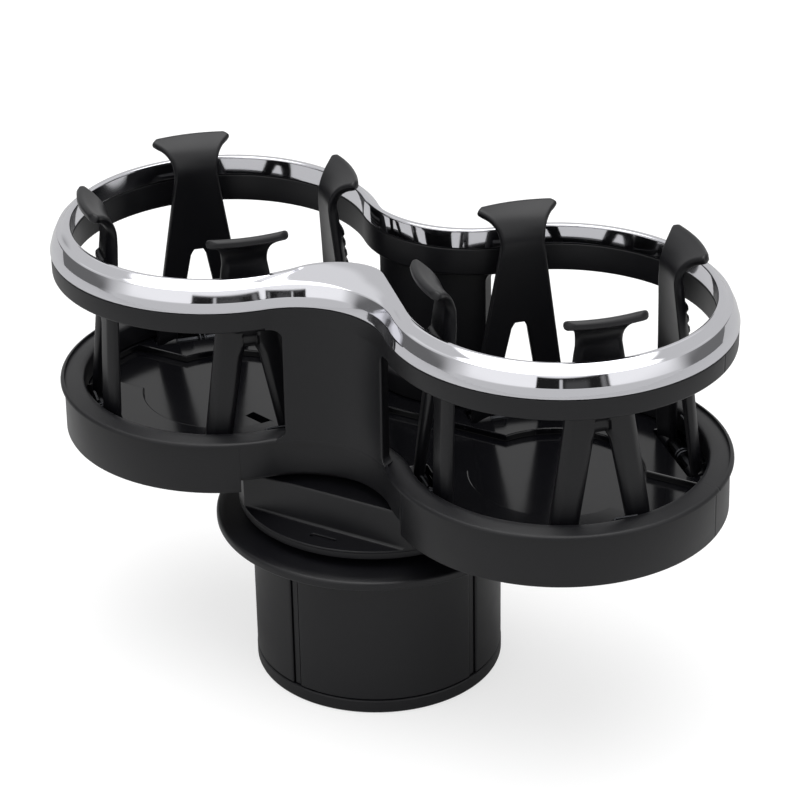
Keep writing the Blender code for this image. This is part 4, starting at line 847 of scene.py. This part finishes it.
slit_floor = BOSS_DISC_TOP - SLIT_DEPTH
disc = stacked(eased([(30, BOSS_BOTTOM, 0), (BOSS_RADIUS, BOSS_BOTTOM, 0.4), (BOSS_RADIUS, slit_floor, 0),
                      (30, slit_floor, 0)]))
slit = np.concatenate([
    arc(SLIT_PLACE[0] + x, SLIT_PLACE[1], SLIT_RADIUS, start, start + math.pi, 10)
    for x, start in ((SLIT_HALF, -math.pi / 2), (-SLIT_HALF, math.pi / 2))])
top_face = plate([arc(0, 0, BOSS_RADIUS, 0, 2 * math.pi, 241)[:-1], slit], slit_floor - 0.02,
                 BOSS_DISC_TOP, 0.2)
piece("boss_puck", [disc, top_face, boss_block()], SATIN_ABS, "satin_black_abs", "holder", "swivel_boss",
      sharp=20)

# Expander collar
# The round flange that is turned by hand to drive the jaws, moulded in satin black ABS. It turns on the post
# of the base and has a soft rounded rim.

COLLAR_RADIUS = 45.15
COLLAR_BORE = 9.3
COLLAR_BOTTOM = 45.7
COLLAR_HUB = (30, 51.7)
COLLAR_SLOPE = ((30.4, 50.1), (43.4, 48.95))
COLLAR_RIM = (46.1, 48.3)
RIM_CHAMFER = 0.75
collar = turned(eased([
    (20, COLLAR_BOTTOM, 0), (COLLAR_BORE, COLLAR_BOTTOM, 0), (COLLAR_BORE, COLLAR_HUB[1], 0),
    (*COLLAR_HUB, 0.3), (*COLLAR_SLOPE[0], 0.4), (*COLLAR_SLOPE[1], 1.2), (COLLAR_RADIUS, COLLAR_RIM[1], 0.9),
    (COLLAR_RADIUS, COLLAR_RIM[0], 0.5), (COLLAR_RADIUS - RIM_CHAMFER, COLLAR_BOTTOM, 0.4),
    (34, COLLAR_BOTTOM, 0)]), 240)
piece("collar_flange", [collar], SATIN_ABS, "satin_black_abs", "collar", "expander_collar", sharp=35)

# Base
# Four curved jaws in satin black ABS, which slide on their arms in a ribbed core. The core stands on a plate
# with a rounded foot, screwed to it from below.

BASE_TURN = math.radians(-11.5)
BASE_RADIUS = 35.2
BASE_PLATE_TOP = 4.1
JAW_WALL = 3.0
JAW_EASE = 0.45
JAW_INSIDE_SHARE = 0.985
JAW_GAP = 0.5
FIN_THICK = 1.7
CORE_TOP = 45.4
ARM_HALF = 4.0
ARM_THICK = 4.6
ARM_END = 11.0
ARM_CLEAR = 0.3
SCREW_CIRCLE = 15.5
SCREW_HEAD_HOLE = 3.0


def jaw_wall():
    """A quarter of the base's wall: an arc bar in radius and angle, with eased upright edges, stacked from
    plate to collar."""
    gap = FIN_THICK / 2 + JAW_GAP
    inner = BASE_RADIUS - JAW_WALL
    r = JAW_EASE
    spread = math.pi / 4 - math.asin((gap + r) / BASE_RADIUS)
    t = np.linspace(-spread, spread, 90)
    a = np.linspace(0, math.pi / 2, 6)
    corner = np.stack([BASE_RADIUS - r + r * np.sin(a), r * (np.cos(a) - 1) / BASE_RADIUS], -1)
    low_edge = np.column_stack([corner[:, 0], -spread - r / BASE_RADIUS - corner[:, 1]])
    arc_line = np.column_stack([np.full(len(t), BASE_RADIUS), t])
    high_edge = low_edge[::-1] * [1, -1]
    outside = np.concatenate([low_edge, arc_line[1:-1], high_edge])
    inside = np.column_stack([np.full(len(outside), inner), outside[:, 1] * JAW_INSIDE_SHARE])[::-1]
    loop = np.concatenate([outside, inside])
    heights = np.array([BASE_PLATE_TOP + 0.3, BASE_PLATE_TOP + 0.5, CORE_TOP - 0.2, CORE_TOP])
    shrink = np.array([0.2, 0, 0, 0.2])
    rows = []
    for z, less in zip(heights, shrink):
        radius = loop[:, 0] - less * (loop[:, 0] > inner + 1)
        rows.append(np.column_stack([radius * np.cos(loop[:, 1]), radius * np.sin(loop[:, 1]),
                                     np.full(len(loop), z)]))
    return lofted(np.stack(rows))


def block(low, high):
    """A plain bar between two corners."""
    x, y = np.array([low[0], high[0], high[0], low[0]]), np.array([low[1], low[1], high[1], high[1]])
    return lofted(np.stack([np.column_stack([x, y, np.full(4, z)]) for z in (low[2], high[2])]))


jaw_shells = [jaw_wall()]
for low in (BASE_PLATE_TOP + 2 * ARM_CLEAR, CORE_TOP - JAW_WALL / 2 - ARM_THICK):
    far = (BASE_RADIUS - JAW_WALL / 2, ARM_HALF, low + ARM_THICK - ARM_CLEAR)
    jaw_shells.append(block((ARM_END, -ARM_HALF, low), far))
for number in range(1, 5):
    turn = BASE_TURN + math.radians(45 + 90 * (number - 1))
    shells = [(placed(points, 0, turn), faces) for points, faces in jaw_shells]
    name = f"jaw_{number}"
    piece(f"jaw_wall_{number}", shells, SATIN_ABS, "satin_black_abs", name, name, sharp=30)

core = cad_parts["base_core"]
core.data.materials.clear()
core.data.materials.append(SATIN_ABS)
plate_holes = []
for a in BASE_TURN + np.radians([0, 90, 180, 270]):
    hole = arc(SCREW_CIRCLE * math.cos(a), SCREW_CIRCLE * math.sin(a), SCREW_HEAD_HOLE, 0, 2 * math.pi, 33)
    plate_holes.append(hole[:-1])
foot_edge = arc(0, 0, BASE_RADIUS + 0.1, 0, 2 * math.pi, 241)[:-1]
foot = plate([foot_edge] + plate_holes, 0, BASE_PLATE_TOP, 0.5)
piece("foot_plate", [foot], SATIN_ABS, "satin_black_abs", "base", "base_plate", sharp=12)

# Fasteners
# Turned steel screws, bolt and washer, zinc plated. They hold cover, boss and core from below and stay as the
# frame has them.

# Zinc plate: bright and slightly blue, with fine turning lines.
ZINC_STEEL = drawn_steel("zinc_plated_steel", "#c9cbd0", 0.28, 0.8)
for name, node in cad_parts.items():
    if "screw" in name or name in ("centre_bolt", "centre_washer"):
        node.data.materials.clear()
        node.data.materials.append(ZINC_STEEL)

# Floor, light and camera
# A white sweep under soft studio light: a large lamp overhead, one from the left, and a studio of pale and
# dark panels painted on the world, which the chrome and the gloss show. The floor keeps the holder's shadow.

FLOOR_HALF = 3.0
FLOOR_HEIGHT = -0.0003
FLOOR_GLOW = 0.66
FLOOR_MIRRORED = 0.09
floor_mesh = bpy.data.meshes.new("floor")
corners = [(x * FLOOR_HALF, y * FLOOR_HALF, FLOOR_HEIGHT) for x, y in ((-1, -1), (1, -1), (1, 1), (-1, 1))]
floor_mesh.from_pydata(corners, [], [(0, 1, 2, 3)])
# White paper: matt, lit by the lamps, with a glow of its own that brings it close to white.
floor_white = bpy.data.materials.new("white_sweep")
floor_white.use_nodes = True
tree = floor_white.node_tree
paper = tree.nodes["Principled BSDF"]
paper.inputs["Base Color"].default_value = linear("#a2a2a2")
paper.inputs["Roughness"].default_value = 0.9
paper.inputs["Specular IOR Level"].default_value = 0.0
rays = add_node(tree, "ShaderNodeLightPath")
mirrored = add_node(tree, "ShaderNodeMath", {
    0: rays.outputs["Is Glossy Ray"], 1: FLOOR_MIRRORED}, operation="MULTIPLY")
glow_level = add_node(tree, "ShaderNodeMath", {
    0: rays.outputs["Is Camera Ray"], 1: FLOOR_GLOW, 2: mirrored.outputs[0]}, operation="MULTIPLY_ADD")
glow = add_node(tree, "ShaderNodeEmission", {"Strength": glow_level.outputs[0]})
both = add_node(tree, "ShaderNodeAddShader", {0: paper.outputs[0], 1: glow.outputs[0]})
tree.links.new(both.outputs[0], tree.nodes["Material Output"].inputs["Surface"])
floor_mesh.materials.append(floor_white)
floor = bpy.data.objects.new("floor", floor_mesh)
bpy.context.scene.collection.objects.link(floor)
floor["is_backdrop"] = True

CAMERA_SIDE = (0.50428, -0.86354, 0.0)
CAMERA_RIGHT = (0.86354, 0.50428, 0.0)
world = bpy.data.worlds.new("studio")
bpy.context.scene.world = world
world.use_nodes = True
tree = world.node_tree
rays = add_node(tree, "ShaderNodeLightPath")
ray = add_node(tree, "ShaderNodeTexCoord").outputs["Generated"]
height = add_node(tree, "ShaderNodeSeparateXYZ", {"Vector": ray}).outputs["Z"]
toward = add_node(tree, "ShaderNodeVectorMath", {0: ray, 1: CAMERA_SIDE}, operation="DOT_PRODUCT")
aside = add_node(tree, "ShaderNodeVectorMath", {0: ray, 1: CAMERA_RIGHT}, operation="DOT_PRODUCT")
around = add_node(tree, "ShaderNodeMath", {
    0: aside.outputs["Value"], 1: toward.outputs["Value"]}, operation="ARCTAN2")
azimuth = add_node(tree, "ShaderNodeMath", {0: around.outputs[0]}, operation="DEGREES").outputs[0]
above = add_node(tree, "ShaderNodeMath", {0: height}, operation="ARCSINE")
elevation = add_node(tree, "ShaderNodeMath", {0: above.outputs[0]}, operation="DEGREES").outputs[0]


def studio_patch(below, sides, heights, soft, level):
    """One panel of the studio over what lies below it: its angles round from the camera's side, positive to
    the right, its angles of height, the width of its soft edges, all in degrees, and its brightness. The mask
    is the product of four smooth steps, one for each edge."""
    mask = None
    for angle, (start, end) in ((azimuth, sides), (elevation, heights)):
        for edge, fade in ((start, soft), (end, -soft)):
            side = add_node(tree, "ShaderNodeMapRange", {
                "Value": angle, "From Min": edge - fade / 2, "From Max": edge + fade / 2},
                interpolation_type="SMOOTHSTEP").outputs["Result"]
            mask = side if mask is None else add_node(tree, "ShaderNodeMath", {0: mask, 1: side},
                                                      operation="MULTIPLY").outputs[0]
    return add_node(tree, "ShaderNodeMix", {0: mask, 2: below, 3: level}).outputs[0]


ROOM_LEVEL = 0.62
PANELS = (
    ((-400, 400), (57.5, 100), 4, 2.8),  # overhead light, which whitens the sloped top of the trim
    ((-66, 74), (13, 54), 16, 1.06),  # pale wall behind the camera, in the bevel
    ((140, 400), (38, 57.5), 5, 0.82),  # back of the room, to the right and to the left
    ((-400, -140), (38, 57.5), 5, 0.82),
    ((-142, -77), (-12, 18), 14, 0.15),  # dark curtains at both ends
    ((80, 132), (-12, 15), 14, 0.17),
    ((144.5, 150.5), (52.5, 60.5), 0.6, 0.04),  # the lamp's stand
    ((-18, 28), (12, 27), 1.2, 0.015),  # dark window behind the camera, with its bars and its grey panes
    ((-3.5, -1.5), (13, 26), 1.0, 0.6),
    ((0, 15), (14, 25), 4, 0.07),
    ((23, 26), (13, 26), 2, 0.2))
studio = ROOM_LEVEL
for panel in PANELS:
    studio = studio_patch(studio, *panel)
level = add_node(tree, "ShaderNodeMix", {0: rays.outputs["Is Camera Ray"], 2: studio, 3: 1.0})
tree.nodes["Background"].inputs["Color"].default_value = (1.0, 1.0, 1.0, 1.0)
tree.links.new(level.outputs[0], tree.nodes["Background"].inputs["Strength"])


def soft_lamp(name, place, target, size, power):
    """A square studio lamp that faces a point."""
    lamp = bpy.data.lights.new(name, "AREA")
    lamp.shape = "RECTANGLE"
    lamp.size, lamp.size_y = size
    lamp.energy = power
    made = bpy.data.objects.new(name, lamp)
    made.location = place
    aim = np.array(target) - np.array(place)
    made.rotation_euler = Vector(aim).to_track_quat("-Z", "Y").to_euler()
    made.visible_glossy = False
    bpy.context.scene.collection.objects.link(made)


AIM = (0, 0, 0.09)
soft_lamp("lamp_left", (-0.7, -1.0, 0.9), AIM, (0.8, 0.9), 1.0)
soft_lamp("lamp_top", (0, -0.1, 1.4), AIM, (1.3, 1.1), 3)

# The camera stands where the photograph was taken, found by a fit to points on the rings and the base.
SENSOR = 36.0
FOCAL_PIXELS = 2771.58
PICTURE_PIXELS = 800
CAMERA_PLACE = (0.342847, -0.587031, 0.439406)
camera_data = bpy.data.cameras.new("camera")
camera_data.sensor_width = SENSOR
camera_data.lens = SENSOR * FOCAL_PIXELS / PICTURE_PIXELS
camera = bpy.data.objects.new("camera", camera_data)
right = Vector((0.872866, 0.487698, -0.015987))
up = Vector((-0.215539, 0.414744, 0.884042))
back = right.cross(up)
turn = Matrix((right, up, back)).transposed()
camera.matrix_world = Matrix.Translation(CAMERA_PLACE) @ turn.to_4x4()
bpy.context.scene.collection.objects.link(camera)
bpy.context.scene.camera = camera
bpy.context.scene.view_settings.view_transform = "Standard"

low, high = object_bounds()
